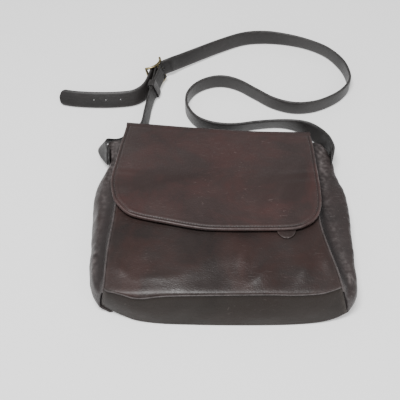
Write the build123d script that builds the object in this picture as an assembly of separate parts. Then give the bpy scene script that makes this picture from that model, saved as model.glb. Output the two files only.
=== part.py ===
from build123d import *
import math
import os

# Leather sling bag lying on its back, with its strap coiled on edge behind it.
# Frame: origin at the centre of the back panel's outer face, +X to the bag's right,
# +Y towards the fold of the flap, +Z out of the front. Everything is in millimetres.

# ---- driving dimensions -------------------------------------------------------------
LEATHER = 1.6            # thickness of the body leather
FLAP_LEATHER = 2.0       # the flap is a heavier leather
FLAP_LINING = 0.7        # suede backing of the flap
SEAM_GAP = 1.5           # from the seam line to the cut edge of each panel
PIPING_R = 0.9           # piping laid in the seams
TOP_BAND_Y = 122.0       # outer face of the band across the top
TOP_BAND_Z = 18.2        # height of the band's free edge
FOLD_Y = 121.2           # fold line of the flap
FOLD_Z = 20.0
FOLD_SKEW = -3.6         # degrees that the fold runs askew, its left end further out
STRAP_W = 20.0           # width of the shoulder strap
STRAP_T = 2.8            # thickness of the long strap
SHORT_T = 2.0            # thickness of the short strap
ROOT_Y = 77.0            # line through the two sewn strap ends
ROOT_Z = 26.0
SNAP_X = -6.0            # magnetic snap under the flap
SNAP_Y = -6.0
SNAP_R = 8.0
ZIP_Y = -27.0            # pocket zip under the lower edge of the flap
ZIP_LEFT = -64.0
ZIP_RIGHT = 80.0
SLIDER_X = 65.0          # the zip is closed with its slider here
PANEL_Z_AT_ZIP = 50.0    # outer face of the front panel along the zip
SHEET_HALF = 130.0       # bent sheets run this far each way before they are trimmed


# ---- helpers ------------------------------------------------------------------------
def save(shape, name):
    """Write one named piece of the bag as its own STEP file."""
    export_step(shape, os.path.join("parts", name + ".step"))


def box(x0, x1, y0, y1, z0, z1):
    """Box from its limits along each axis."""
    centre = ((x0 + x1) / 2, (y0 + y1) / 2, (z0 + z1) / 2)
    return Pos(*centre) * Box(x1 - x0, y1 - y0, z1 - z0)


def askew(shape):
    """Turn a shape about the middle of the fold, so that it runs askew like the fold."""
    return Pos(0, FOLD_Y, 0) * Rot(0, 0, FOLD_SKEW) * Pos(0, -FOLD_Y, 0) * shape


def below_y(high_y):
    """Everything of the bag in front of a distance up it."""
    return box(-SHEET_HALF, SHEET_HALF, -SHEET_HALF, high_y, 0, 70)


def sheet_profile(points, thickness):
    """Bent sheet: a curve of (y, z) points, thickened downwards and run along X."""
    upper = Edge.make_spline([Vector(-SHEET_HALF, y, z) for y, z in points])
    steps = 24
    lower_points = []
    for step in range(steps + 1):
        place = upper @ (step / steps)
        along = upper % (step / steps)
        normal = Vector(0, -along.Z, along.Y).normalized()
        lower_points.append(place - normal * thickness)
    lower = Edge.make_spline(lower_points)
    ends = [Edge.make_line(upper @ 0, lower @ 0), Edge.make_line(upper @ 1, lower @ 1)]
    face = Face(Wire([upper, ends[1], lower, ends[0]]))
    return extrude(face, amount=2 * SHEET_HALF, dir=(1, 0, 0))


def prism(outline, z0, z1):
    """Upright prism over a closed plan outline."""
    return extrude(Pos(0, 0, z0) * outline, amount=z1 - z0, dir=(0, 0, 1))


def blend_points(points, steps):
    """Smooth curve (Catmull-Rom) through control points of any number of values."""
    result = []
    last = len(points) - 1
    for i in range(last):
        p0 = points[max(i - 1, 0)]
        p1 = points[i]
        p2 = points[i + 1]
        p3 = points[min(i + 2, last)]
        for step in range(steps):
            t = step / steps
            values = []
            for a, b, c, d in zip(p0, p1, p2, p3):
                linear = (c - a) * t
                square = (2 * a - 5 * b + 4 * c - d) * t * t
                cube = (3 * b - a - 3 * c + d) * t * t * t
                values.append(b + 0.5 * (linear + square + cube))
            result.append(tuple(values))
    result.append(points[last])
    return result


def strap_stations(points, steps):
    """Centre, travel direction and width direction along a strap.

    Each control point is (x, y, z, lean): the middle of the strap and the angle by
    which its width leans from upright to the left of the way it travels.
    """
    dense = blend_points(points, steps)
    stations = []
    for i, (x, y, z, lean) in enumerate(dense):
        before = dense[max(i - 1, 0)]
        after = dense[min(i + 1, len(dense) - 1)]
        travel = Vector(after[0] - before[0], after[1] - before[1], after[2] - before[2])
        travel = travel.normalized()
        left = Vector(-travel.Y, travel.X, 0).normalized()
        angle = math.radians(lean)
        width = Vector(0, 0, 1) * math.cos(angle) + left * math.sin(angle)
        width = (width - travel * width.dot(travel)).normalized()
        stations.append((Vector(x, y, z), travel, width))
    return stations


def ribbon(stations, width, thickness):
    """Flat strap of constant section through the stations."""
    wires = []
    for centre, travel, across in stations:
        normal = travel.cross(across).normalized()
        half_w = across * (width / 2)
        half_t = normal * (thickness / 2)
        corners = [centre - half_w - half_t, centre + half_w - half_t,
                   centre + half_w + half_t, centre - half_w + half_t]
        wires.append(Wire.make_polygon(corners, close=True))
    return Solid.make_loft(wires, ruled=True)


# ---- outer shape of the bag ---------------------------------------------------------
# Height of the front panel's outer face over the back, from the base seam to the top.
FRONT_CURVE = [(-117.5, 47.0), (-104.0, 51.4), (-80.0, 52.6), (-52.0, 51.2), (-27.0, 50.0),
               (0.0, 49.8), (22.0, 48.0), (53.0, 41.0), (81.0, 33.5), (107.0, 26.0)]
# The flap lies on it, thicker and further out, and turns over at the fold.
FLAP_CURVE = [(-60.0, 57.0), (-30.0, 57.3), (0.0, 57.6), (25.0, 56.4), (53.0, 48.6),
              (81.0, 40.4), (107.0, 32.4), (116.5, 29.0), (121.3, 25.4), (122.2, 21.2)]
# Side seams of the front panel, and the widest line of each gusset, as (y, x).
LEFT_SEAM = [(-112.0, -117.3), (-64.0, -115.5), (-21.0, -112.3), (30.0, -110.5), (104.0, -107.0)]
RIGHT_SEAM = [(-112.0, 115.8), (-92.0, 112.9), (-28.0, 101.5), (30.0, 99.5), (104.0, 101.0)]


def curve_value(points, at):
    """Value of a smooth (key, value) curve at a key."""
    dense = blend_points(points, 12)
    for (k0, v0), (k1, v1) in zip(dense, dense[1:]):
        if k0 <= at <= k1:
            return v0 + (v1 - v0) * (at - k0) / (k1 - k0)
    return dense[0][1] if at < dense[0][0] else dense[-1][1]


def front_height(y):
    """Outer face of the front panel at a distance up the bag."""
    return curve_value(FRONT_CURVE, y)


def panel_outline(left, right, inset, base_points, top_y):
    """Plan outline of a panel between its side seams, its base line and its top."""
    left_edge = Edge.make_spline([Vector(x + inset, y, 0) for y, x in left])
    right_edge = Edge.make_spline([Vector(x - inset, y, 0) for y, x in right])
    base = [Vector(x, y + inset, 0) for x, y in base_points]
    base_edge = Edge.make_spline([left_edge @ 0] + base + [right_edge @ 0])
    top_left = left_edge @ 1
    top_right = right_edge @ 1
    top_edge = Edge.make_line(top_left, top_right)
    face = Face(Wire([left_edge, top_edge, right_edge, base_edge]))
    return face & (Pos(0, top_y / 2 - 100) * Rectangle(400, top_y + 200))


# ---- body panels --------------------------------------------------------------------
def front_panel():
    """Front panel with a slot for the pocket zip and a seat for the snap."""
    skin = sheet_profile(FRONT_CURVE, LEATHER)
    outline = panel_outline(LEFT_SEAM, RIGHT_SEAM, SEAM_GAP,
                            [(-97, -114.6), (-52, -117.0), (0, -117.2), (27, -117.4),
                             (73, -116.6), (97, -114.2)], 104.0)
    panel = skin & prism(outline, 0, 70)
    slot = box(ZIP_LEFT - 3, ZIP_RIGHT + 3, ZIP_Y - 5.5, ZIP_Y + 5.5, 40, 60)
    return panel - slot


BACK_LEFT = [(-106.0, -119.0), (-60.0, -119.5), (0.0, -119.0), (60.0, -115.5), (112.0, -108.5)]
BACK_RIGHT = [(-106.0, 119.0), (-60.0, 119.5), (0.0, 119.0), (60.0, 115.0), (112.0, 106.0)]


BAND_LEFT = -101.0
BAND_RIGHT = 103.5
BAND_LOW_Y = 100.0
BAND_BEND = 4.0


def back_panel():
    """Back panel, turned up at the top into the band that carries the flap."""
    outline = panel_outline(BACK_LEFT, BACK_RIGHT, 0.0,
                            [(-84, -116.0), (0, -119.0), (78, -117.5)], 112.0)
    flat = prism(outline, 0, LEATHER)
    bend_y = TOP_BAND_Y - BAND_BEND
    band = box(BAND_LEFT, BAND_RIGHT, BAND_LOW_Y, bend_y, 0, LEATHER)
    rise = box(BAND_LEFT, BAND_RIGHT, TOP_BAND_Y - LEATHER, TOP_BAND_Y, BAND_BEND, TOP_BAND_Z)
    length = BAND_RIGHT - BAND_LEFT
    outer = Cylinder(BAND_BEND, length, rotation=(0, 90, 0))
    inner = Cylinder(BAND_BEND - LEATHER, length + 2, rotation=(0, 90, 0))
    turn = Pos((BAND_LEFT + BAND_RIGHT) / 2, bend_y, BAND_BEND) * (outer - inner)
    turn = turn & box(BAND_LEFT, BAND_RIGHT, bend_y, TOP_BAND_Y, 0, BAND_BEND)
    return flat + askew(band + turn + rise)


BASE_LOW_Z = 2.2
BASE_HIGH_Z = 44.6
BASE_LINE = [(-118.5, -107.5), (-101.0, -115.0), (-84.0, -119.6), (-40.0, -121.4),
             (20.0, -122.4), (70.0, -121.8), (98.0, -117.5), (118.0, -109.5)]


def base_panel():
    """Base: an upright band that rounds the two bottom corners."""
    outer = Edge.make_spline([Vector(x, y, 0) for x, y in BASE_LINE])
    steps = 20
    inner_points = []
    for step in range(steps + 1):
        along = outer % (step / steps)
        inner_points.append((outer @ (step / steps)) + Vector(-along.Y, along.X, 0) * LEATHER)
    inner = Edge.make_spline(inner_points)
    ends = [Edge.make_line(outer @ 1, inner @ 1), Edge.make_line(inner @ 0, outer @ 0)]
    face = Face(Wire([outer, ends[0], inner, ends[1]]))
    return prism(face, BASE_LOW_Z, BASE_HIGH_Z)


# Widest line of the gussets, as (y, distance from the centre line).
GUSSET_OUT = [(-106.0, 125.5), (-85.0, 132.0), (-60.0, 136.0), (-10.0, 138.0), (28.0, 136.0),
              (52.0, 128.5), (70.0, 124.8), (86.0, 124.6), (103.0, 119.0), (109.0, 117.0)]
GUSSET_STEPS = 22
LEFT_GUSSET_TOP = 108.5
RIGHT_GUSSET_TOP = 103.0


def gusset(side, seam, back, high):
    """Side gusset: a sheet that bulges outwards between the front and back seams."""
    wires = []
    low = GUSSET_OUT[0][0]
    for step in range(GUSSET_STEPS + 1):
        y = low + (high - low) * step / GUSSET_STEPS
        x_front = abs(curve_value(seam, y)) + SEAM_GAP
        x_back = abs(curve_value(back, y)) + 0.6
        z_front = front_height(y) - 1.6
        outer_x = curve_value(GUSSET_OUT, y)
        z_back = 2.2
        middle = (z_front + z_back) / 2
        outer = Edge.make_three_point_arc(
            Vector(side * x_back, y, z_back), Vector(side * outer_x, y, middle),
            Vector(side * x_front, y, z_front))
        inner = Edge.make_three_point_arc(
            Vector(side * (x_front - 0.2), y, z_front - LEATHER - 0.4),
            Vector(side * (outer_x - LEATHER), y, middle),
            Vector(side * (x_back - 0.2), y, z_back + LEATHER + 0.4))
        ends = [Edge.make_line(outer @ 1, inner @ 0), Edge.make_line(inner @ 1, outer @ 0)]
        wires.append(Wire([outer, ends[0], inner, ends[1]]))
    return Solid.make_loft(wires, ruled=True)


PIPING_SIDES = 10


def cord(points):
    """Piping cord through points: a ruled loft of small regular polygons."""
    wires = []
    last = len(points) - 1
    for i, centre in enumerate(points):
        travel = (points[min(i + 1, last)] - points[max(i - 1, 0)]).normalized()
        side = travel.cross(Vector(0, 0, 1)).normalized()
        up = side.cross(travel)
        corners = []
        for k in range(PIPING_SIDES):
            angle = 2 * math.pi * k / PIPING_SIDES
            corners.append(centre + side * (PIPING_R * math.cos(angle)) + up * (PIPING_R * math.sin(angle)))
        wires.append(Wire.make_polygon(corners, close=True))
    return Solid.make_loft(wires, ruled=True)


SIDE_PIPING_LOW_Y = -108.0
SIDE_PIPING_HIGH_Y = 101.0
SIDE_PIPING_STEPS = 24


def side_piping(seam):
    """Piping along a side seam of the front panel."""
    points = []
    for step in range(SIDE_PIPING_STEPS + 1):
        y = SIDE_PIPING_LOW_Y + (SIDE_PIPING_HIGH_Y - SIDE_PIPING_LOW_Y) * step / SIDE_PIPING_STEPS
        points.append(Vector(curve_value(seam, y), y, front_height(y) - 0.6))
    return cord(points)


# Bottom seam of the front panel, as (x, y, z).
BASE_SEAM = [(-112.0, -113.0, 46.4), (-84.0, -118.2, 46.4), (-40.0, -119.8, 46.6),
             (10.0, -120.2, 46.4), (60.0, -119.9, 46.6), (90.0, -117.8, 46.4),
             (111.0, -113.0, 46.4)]


def base_piping():
    """Piping along the bottom seam of the front panel."""
    return cord([Vector(*point) for point in blend_points(BASE_SEAM, 5)])


def mouth_hem():
    """Turned hem along the top edge of the front panel."""
    z = front_height(104.0)
    return box(-103.5, 97.5, 104.5, 106.5, z - 3.6, z + 0.4)


# ---- inside -------------------------------------------------------------------------
LINING_WALL = 0.5
LINING_TOP = [(-112.0, 38.0), (-80.0, 41.5), (20.0, 40.5), (53.0, 34.0), (81.0, 27.0), (103.0, 20.5)]


def lining():
    """Cloth pouch inside the bag, open at the mouth."""
    def pouch(inset, x0, x1, extra):
        lower = [(-112.0 + inset, 2.6 + inset), (103.0 + extra, 2.6 + inset)]
        upper = [(y + (inset if y < -100 else 0) + (extra if y > 100 else 0), z - inset)
                 for y, z in reversed(LINING_TOP)]
        ring = [Vector(x0, y, z) for y, z in lower + upper]
        return extrude(Face(Wire.make_polygon(ring, close=True)), amount=x1 - x0, dir=(1, 0, 0))
    return pouch(0.0, -102.0, 94.0, 0.0) - pouch(LINING_WALL, -101.5, 93.5, 4.0)


def base_board():
    """Stiffening board between the base and the lining."""
    return box(-80.0, 76.0, -116.6, -114.6, 4.0, 40.0)


# ---- pocket zip ---------------------------------------------------------------------
def zip_tapes():
    """Two woven tapes, one each side of the teeth, set in the slot."""
    z = PANEL_Z_AT_ZIP
    upper = box(ZIP_LEFT - 2, ZIP_RIGHT + 2, ZIP_Y + 1.9, ZIP_Y + 5.1, z - 2.4, z - 1.8)
    lower = box(ZIP_LEFT - 2, ZIP_RIGHT + 2, ZIP_Y - 5.1, ZIP_Y - 1.9, z - 2.4, z - 1.8)
    return Compound([upper, lower])


TOOTH_PITCH = 2.0
TOOTH_LENGTH = 1.3
TOOTH_HALF_W = 0.8
TOOTH_SHIFT = 0.3        # upper and lower teeth are offset this far from the centre line


def zip_teeth():
    """Meshed row of teeth, alternately from the upper and the lower tape."""
    z = PANEL_Z_AT_ZIP - 2.5
    first = ZIP_LEFT + 3
    teeth = []
    count = int((SLIDER_X - 7 - first) / TOOTH_PITCH)
    for i in range(count):
        x = first + i * TOOTH_PITCH
        y = ZIP_Y + (TOOTH_SHIFT if i % 2 else -TOOTH_SHIFT)
        teeth.append(box(x, x + TOOTH_LENGTH, y - TOOTH_HALF_W, y + TOOTH_HALF_W, z, z + 1.1))
    return Compound(teeth)


def zip_stops():
    """End stops of the zip."""
    z = PANEL_Z_AT_ZIP - 2.9
    left = box(ZIP_LEFT - 0.5, ZIP_LEFT + 1.5, ZIP_Y - 1.7, ZIP_Y + 1.7, z, z + 1.8)
    right = box(ZIP_RIGHT - 1.5, ZIP_RIGHT + 0.5, ZIP_Y - 1.7, ZIP_Y + 1.7, z, z + 1.8)
    return Compound([left, right])


SLIDER_HALF_L = 5.0
SLIDER_HALF_W = 3.4
FLANGE_IN = 1.25         # the slider's side flanges pass between the teeth and the tapes
FLANGE_OUT = 1.75


def zip_slider():
    """Slider: two wings joined by side flanges, with a stud and cap for the pull."""
    z = PANEL_Z_AT_ZIP
    x0 = SLIDER_X - SLIDER_HALF_L
    x1 = SLIDER_X + SLIDER_HALF_L
    slider = box(x0, x1, ZIP_Y - SLIDER_HALF_W, ZIP_Y + SLIDER_HALF_W, z - 1.1, z - 0.1)
    slider += box(x0, x1, ZIP_Y - SLIDER_HALF_W, ZIP_Y + SLIDER_HALF_W, z - 4.2, z - 3.2)
    slider += box(x0 + 1, x1 - 1, ZIP_Y + FLANGE_IN, ZIP_Y + FLANGE_OUT, z - 3.3, z - 1.0)
    slider += box(x0 + 1, x1 - 1, ZIP_Y - FLANGE_OUT, ZIP_Y - FLANGE_IN, z - 3.3, z - 1.0)
    stud = Pos(SLIDER_X, ZIP_Y, z + 1.0) * Cylinder(1.3, 2.6)
    cap = Pos(SLIDER_X, ZIP_Y, z + 2.5) * Cylinder(2.4, 0.8)
    return slider + stud + cap


def pull_link():
    """Flat metal link that turns on the slider's stud and holds the leather tab."""
    z = PANEL_Z_AT_ZIP + 1.35
    ring = Pos(SLIDER_X, ZIP_Y, z) * Cylinder(3.4, 1.0)
    arm = box(SLIDER_X - 1.6, SLIDER_X + 1.6, ZIP_Y - 10.0, ZIP_Y, z - 0.5, z + 0.5)
    bar = box(SLIDER_X - 5.0, SLIDER_X + 5.0, ZIP_Y - 10.6, ZIP_Y - 9.0, z - 0.5, z + 0.5)
    hole = Pos(SLIDER_X, ZIP_Y, z) * Cylinder(1.6, 3.0)
    return ring + arm + bar - hole


TAB_W = 20.0
TAB_LOW_Y = -51.0


def pull_tab():
    """Leather tab, folded over the link's bar, with a half-round end."""
    z = PANEL_Z_AT_ZIP + 2.0
    end_y = TAB_LOW_Y + TAB_W / 2
    top_y = ZIP_Y - 7.4
    round_end = Pos(SLIDER_X, end_y, z + 0.6) * Cylinder(TAB_W / 2, 1.2)
    body = box(SLIDER_X - TAB_W / 2, SLIDER_X + TAB_W / 2, end_y, top_y, z, z + 1.2)
    return round_end + body


def pocket_bag():
    """Thin cloth pocket hanging behind the zip, open along it."""
    z0 = 42.6
    z1 = 45.2
    outer = box(ZIP_LEFT - 6.0, ZIP_RIGHT + 4.0, -88.0, -18.0, z0, z1)
    inner = box(ZIP_LEFT - 5.5, ZIP_RIGHT + 3.5, -87.5, -18.5, z0 + 0.5, z1 - 0.5)
    mouth = box(ZIP_LEFT, ZIP_RIGHT, ZIP_Y - 4.5, ZIP_Y + 4.5, z1 - 1.0, z1 + 1.0)
    return outer - inner - mouth


# ---- snap ---------------------------------------------------------------------------
SNAP_SEAT_Z = 49.9


def snap_socket():
    """Magnet cup on the front panel."""
    cup = Pos(SNAP_X, SNAP_Y, SNAP_SEAT_Z + 1.2) * Cylinder(SNAP_R, 1.8)
    well = Pos(SNAP_X, SNAP_Y, SNAP_SEAT_Z + 1.6) * Cylinder(3.2, 2.4)
    return cup - well


def snap_socket_washer():
    """Backing washer of the magnet cup, behind the front panel."""
    return Pos(SNAP_X, SNAP_Y, 47.2) * (Cylinder(SNAP_R, 0.8) - Cylinder(3.0, 2.0))


def snap_stud():
    """Stud plate on the flap's backing, with the post that enters the cup."""
    plate = Pos(SNAP_X, SNAP_Y, 53.5) * Cylinder(SNAP_R, 0.9)
    post = Pos(SNAP_X, SNAP_Y, 52.5) * Cylinder(2.4, 1.6)
    return plate + post


# ---- flap ---------------------------------------------------------------------------
def flap_outline(inset):
    """Plan outline of the flap: tapered sides, rounded corners, slanting lower edge."""
    top = 136.0
    left_top = Vector(-107.5 + inset, top, 0)
    left_low = Vector(-118.2 + inset, 22.0, 0)
    corner_left_mid = Vector(-111.5 + inset * 0.8, -8.0 + inset * 0.5, 0)
    left_base = Vector(-93.0 + inset * 0.2, -25.4 + inset, 0)
    sag = [Vector(-60.0, -34.6 + inset, 0), Vector(-24.0, -42.2 + inset, 0),
           Vector(16.0, -44.0 + inset, 0)]
    right_base = Vector(68.0, -43.4 + inset, 0)
    corner_right_mid = Vector(94.5 - inset * 0.7, -31.6 + inset * 0.7, 0)
    right_low = Vector(104.4 - inset, -4.0, 0)
    right_top = Vector(105.0 - inset, top, 0)
    edges = [
        Edge.make_line(left_top, left_low),
        Edge.make_three_point_arc(left_low, corner_left_mid, left_base),
        Edge.make_spline([left_base] + sag + [right_base]),
        Edge.make_three_point_arc(right_base, corner_right_mid, right_low),
        Edge.make_line(right_low, right_top),
        Edge.make_line(right_top, left_top),
    ]
    return Face(Wire(edges))


def flap_leather():
    """Flap from its fold over the top and down the front."""
    skin = askew(sheet_profile(FLAP_CURVE, FLAP_LEATHER))
    return skin & prism(flap_outline(0.0), FOLD_Z + 1.0, 70)


FLAP_LINING_END_Y = 100.0
BINDING_END_Y = 80.0
BINDING_T = 0.8


def flap_lining():
    """Backing glued under the flap, stopping short of its edges and its fold."""
    curve = [(y, z - FLAP_LEATHER - 0.25) for y, z in FLAP_CURVE]
    skin = askew(sheet_profile(curve, FLAP_LINING))
    return skin & prism(flap_outline(3.0), 0, 70) & below_y(FLAP_LINING_END_Y)


def flap_edge_binding():
    """Turned edge of the flap, a raised bead just inside its lower edge and corners."""
    skin = askew(sheet_profile([(y, z + 0.95) for y, z in FLAP_CURVE], BINDING_T))
    ring = prism(flap_outline(0.6), 0, 70) - prism(flap_outline(5.0), 0, 71)
    return skin & ring & below_y(BINDING_END_Y)


# ---- shoulder strap -----------------------------------------------------------------
# Long strap: from the right-hand gusset, down to the table, round two loops, through
# the buckle and out to its free end. (x, y, z of the middle, lean)
LONG_PATH = [
    (130.2, 66.0, 26.0, 0), (130.2, 78.0, 25.6, 0), (129.6, 92.0, 23.0, 0),
    (126.4, 107.5, 17.6, -16), (118.6, 122.5, 13.6, -30), (107.0, 135.4, 11.4, -30),
    (92.0, 143.6, 10.7, -14), (71.5, 146.6, 10.5, 3), (45.0, 144.0, 10.5, 8),
    (22.0, 138.8, 10.4, 6), (4.0, 137.6, 10.4, 2), (-14.0, 141.2, 10.4, 0),
    (-29.0, 151.0, 10.4, 0), (-38.8, 169.0, 10.4, 0), (-38.6, 188.0, 10.4, 0),
    (-28.0, 205.0, 10.4, 0), (-11.0, 215.2, 10.4, 0), (7.0, 217.4, 10.4, 0),
    (26.0, 210.6, 10.4, 0), (46.0, 195.6, 10.4, 0), (68.0, 179.4, 10.4, 0),
    (92.0, 171.4, 10.4, 0), (116.0, 173.2, 10.4, 0), (137.0, 182.4, 10.4, 0),
    (154.0, 195.4, 10.4, 0), (164.6, 212.0, 10.4, 0), (165.0, 230.0, 10.4, 0),
    (158.6, 250.0, 10.4, 0), (143.0, 271.0, 10.6, 6), (120.0, 286.0, 10.6, 8),
    (92.0, 296.0, 10.4, 2), (62.0, 300.4, 10.4, -8), (34.0, 297.0, 10.6, -10),
    (4.0, 282.6, 11.6, -12), (-28.0, 263.4, 13.0, -14), (-50.0, 249.4, 14.4, -16),
]
# Buckle frame: centre of its bar, heading of the frame and lean of the bar.
BUCKLE_AT = Vector(-74.0, 226.5, 16.3)
BUCKLE_HEADING = 51.0
BUCKLE_LEAN = 18.0
TONGUE_PATH = [
    (-84.9, 213.6, 14.2, -18), (-88.6, 203.6, 12.6, -22), (-95.0, 195.6, 10.9, -28),
    (-106.0, 189.6, 9.4, -34), (-122.0, 187.2, 8.9, -38), (-140.0, 186.4, 8.7, -40),
    (-160.0, 186.8, 8.7, -40), (-180.0, 188.6, 8.7, -40), (-198.0, 192.4, 8.7, -38),
]
# Short strap: from the left-hand gusset round the outside and up to the buckle.
SHORT_PATH = [
    (-130.0, 66.0, 26.0, 0), (-130.0, 78.0, 25.6, 0), (-134.6, 90.0, 21.8, -12),
    (-138.4, 102.0, 17.0, -24), (-136.4, 112.5, 13.2, -28), (-129.2, 121.0, 10.6, -30),
    (-120.2, 128.6, 9.6, -30), (-110.6, 136.0, 9.6, -26), (-100.6, 140.6, 10.0, -18),
    (-92.6, 144.8, 10.4, -8), (-88.8, 152.0, 10.6, 0), (-87.4, 162.0, 10.8, 6),
    (-85.4, 176.0, 11.8, 10), (-82.6, 190.0, 13.4, 14),
]


def buckle_axes():
    """Directions along the frame, along its bar and out of its outer side."""
    heading = math.radians(BUCKLE_HEADING)
    lean = math.radians(BUCKLE_LEAN)
    along = Vector(math.cos(heading), math.sin(heading), 0)
    side = Vector(-math.sin(heading), math.cos(heading), 0)
    bar = side * math.sin(lean) + Vector(0, 0, 1) * math.cos(lean)
    out = bar.cross(along).normalized()
    return along, bar, out


ALONG, BAR, OUT = buckle_axes()
BAR_R = 1.5              # bar and rails are round wire
WRAP_R = 3.0             # mid-line radius of the short strap where it wraps the bar
FRAME_HALF_V = 13.0
FRAME_HALF_U = 12.8
RAIL_OUT = 7.6           # the end rails stand out over the strap


def buckle_point(v, u, n):
    """Point in the buckle: along the frame, along the bar, out of the frame."""
    return BUCKLE_AT + ALONG * v + BAR * u + OUT * n


def long_strap_stations():
    """Stations of the long strap, with a straight pass over the buckle's bar."""
    run_in = strap_stations(LONG_PATH, 3)
    over_bar = []
    for v in (20, 16, 12, 8, 4, 0, -4, -8, -12):
        lift = 5.6 - 3.0 * (v / 13.0) ** 2
        slope = 6.0 * v / 169.0
        travel = (ALONG * -1 + OUT * slope).normalized()
        over_bar.append((buckle_point(v, 0, lift), travel, BAR))
    run_out = strap_stations(TONGUE_PATH, 3)
    return run_in + over_bar + run_out


def along_cylinder(point, direction, radius, length):
    """Cylinder centred on a point along a direction."""
    return Plane(origin=point, z_dir=direction) * Cylinder(radius, length)


FIRST_HOLE = 50.0        # from the buckle end of the tongue to its first hole
LAST_HOLE = 84.0
HOLE_STEP = 16.0
HOLE_R = 1.4
SLOT_LENGTH = 10.4       # slot that the prong passes through
SLOT_WIDTH = 3.4


def long_strap():
    """Long strap with its prong slot, adjusting holes and rounded free end."""
    stations = long_strap_stations()
    strap = ribbon(stations, STRAP_W, STRAP_T)
    slot_centre = buckle_point(6.0, 0, 4.6)
    slot = Plane(origin=slot_centre, x_dir=ALONG, z_dir=OUT) * Box(SLOT_LENGTH, SLOT_WIDTH, 12)
    strap = strap - slot
    tongue = strap_stations(TONGUE_PATH, 8)
    run = 0.0
    next_hole = FIRST_HOLE
    for before, here in zip(tongue, tongue[1:]):
        run += (here[0] - before[0]).length
        if run >= next_hole and next_hole < LAST_HOLE:
            normal = here[1].cross(here[2])
            strap = strap - along_cylinder(here[0], normal, HOLE_R, 12)
            next_hole += HOLE_STEP
    tip, travel, across = tongue[-1]
    normal = travel.cross(across)
    end_plane = Plane(origin=tip - travel * (STRAP_W / 2), x_dir=travel, z_dir=normal)
    waste = Pos(STRAP_W / 4 + 1, 0, 0) * Box(STRAP_W / 2 + 2, STRAP_W + 4, 8)
    waste = waste - Cylinder(STRAP_W / 2, 10)
    return strap - end_plane * waste


SHORT_GAP = 1.3          # half the distance between the two layers of the doubled end


def short_strap_stations():
    """Stations of the short strap: up to the bar, round it and back on itself."""
    stations = strap_stations(SHORT_PATH, 3)
    foot = Vector(*SHORT_PATH[-1][:3])
    toward = (BUCKLE_AT - foot).normalized()
    across = (BAR - toward * BAR.dot(toward)).normalized()
    out = across.cross(toward).normalized()
    for run in (6.0, 14.0, 22.0):
        stations.append((foot + toward * run - out * SHORT_GAP, toward, across))
    level = (toward - BAR * BAR.dot(toward)).normalized()
    rise = BAR.cross(level).normalized()
    for step in range(9):
        angle = math.radians(-90 + 22.5 * step)
        spot = BUCKLE_AT + level * (WRAP_R * math.cos(angle)) + rise * (WRAP_R * math.sin(angle))
        travel = level * -math.sin(angle) + rise * math.cos(angle)
        stations.append((spot, travel, BAR))
    for run in (22.0, 14.0, 5.0):
        stations.append((foot + toward * run + out * SHORT_GAP, toward * -1, across))
    return stations, foot, toward, across


def short_strap():
    """Short strap, folded round the buckle's bar and sewn back on itself."""
    stations, _, toward, across = short_strap_stations()
    strap = ribbon(stations, STRAP_W, SHORT_T)
    notch = Plane(origin=BUCKLE_AT + toward * 1.0, x_dir=toward, z_dir=across) * Box(11, 14, 4.6)
    return strap - notch


KEEPER_RUN = 11.0        # from the start of the doubled end to the middle of the keeper
KEEPER_LENGTH = 10.0
KEEPER_INSIDE = (STRAP_W + 1.2, 6.2)


def keeper_loop():
    """Leather loop round the doubled end of the short strap."""
    _, foot, toward, across = short_strap_stations()
    place = Plane(origin=foot + toward * KEEPER_RUN, x_dir=across, z_dir=toward)
    width, height = KEEPER_INSIDE
    outer = Box(width + 2 * LEATHER, height + 2 * LEATHER, KEEPER_LENGTH)
    return place * (outer - Box(width, height, KEEPER_LENGTH + 2))


PATCH_X = 126.2
PATCH_HALF_Y = 12.0
PATCH_HALF_Z = 10.0


def root_patch(side):
    """Reinforcing patch sewn on the gusset under the end of the strap."""
    x = PATCH_X if side > 0 else -PATCH_X - LEATHER
    return box(x, x + LEATHER, ROOT_Y - PATCH_HALF_Y, ROOT_Y + PATCH_HALF_Y,
               ROOT_Z - PATCH_HALF_Z, ROOT_Z + PATCH_HALF_Z)


# ---- buckle -------------------------------------------------------------------------
def buckle_frame():
    """Bowed rectangular frame with a centre bar, all of round wire."""
    parts = along_cylinder(buckle_point(0, 0, 0), BAR, BAR_R, 2 * FRAME_HALF_U)
    for v in (-FRAME_HALF_V, FRAME_HALF_V):
        rail = along_cylinder(buckle_point(v, 0, RAIL_OUT), BAR, BAR_R, 2 * FRAME_HALF_U)
        parts = parts + rail
    for u in (-FRAME_HALF_U, FRAME_HALF_U):
        arc = Edge.make_three_point_arc(buckle_point(-FRAME_HALF_V, u, RAIL_OUT),
                                        buckle_point(0, u, 0),
                                        buckle_point(FRAME_HALF_V, u, RAIL_OUT))
        start = Plane(origin=arc @ 0, z_dir=arc % 0)
        parts = parts + sweep(start * Circle(BAR_R), path=arc)
        for v, n in ((-FRAME_HALF_V, RAIL_OUT), (0, 0), (FRAME_HALF_V, RAIL_OUT)):
            spot = buckle_point(v, u, n)
            parts = parts + Pos(spot.X, spot.Y, spot.Z) * Sphere(BAR_R)
    return parts


PRONG_R = 1.0


def buckle_prong():
    """Prong: a ring on the bar and a round arm resting on the far rail."""
    ring = along_cylinder(BUCKLE_AT, BAR, 3.2, 3.0) - along_cylinder(BUCKLE_AT, BAR, BAR_R + 0.15, 5.0)
    root = buckle_point(1.6, 0, 2.0)
    rest = buckle_point(FRAME_HALF_V + 1.6, 0, RAIL_OUT + BAR_R + PRONG_R + 1.9)
    path = rest - root
    arm = along_cylinder(root + path * 0.5, path.normalized(), PRONG_R, path.length)
    tip = Pos(rest.X, rest.Y, rest.Z) * Sphere(PRONG_R)
    return ring + arm + tip


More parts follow.
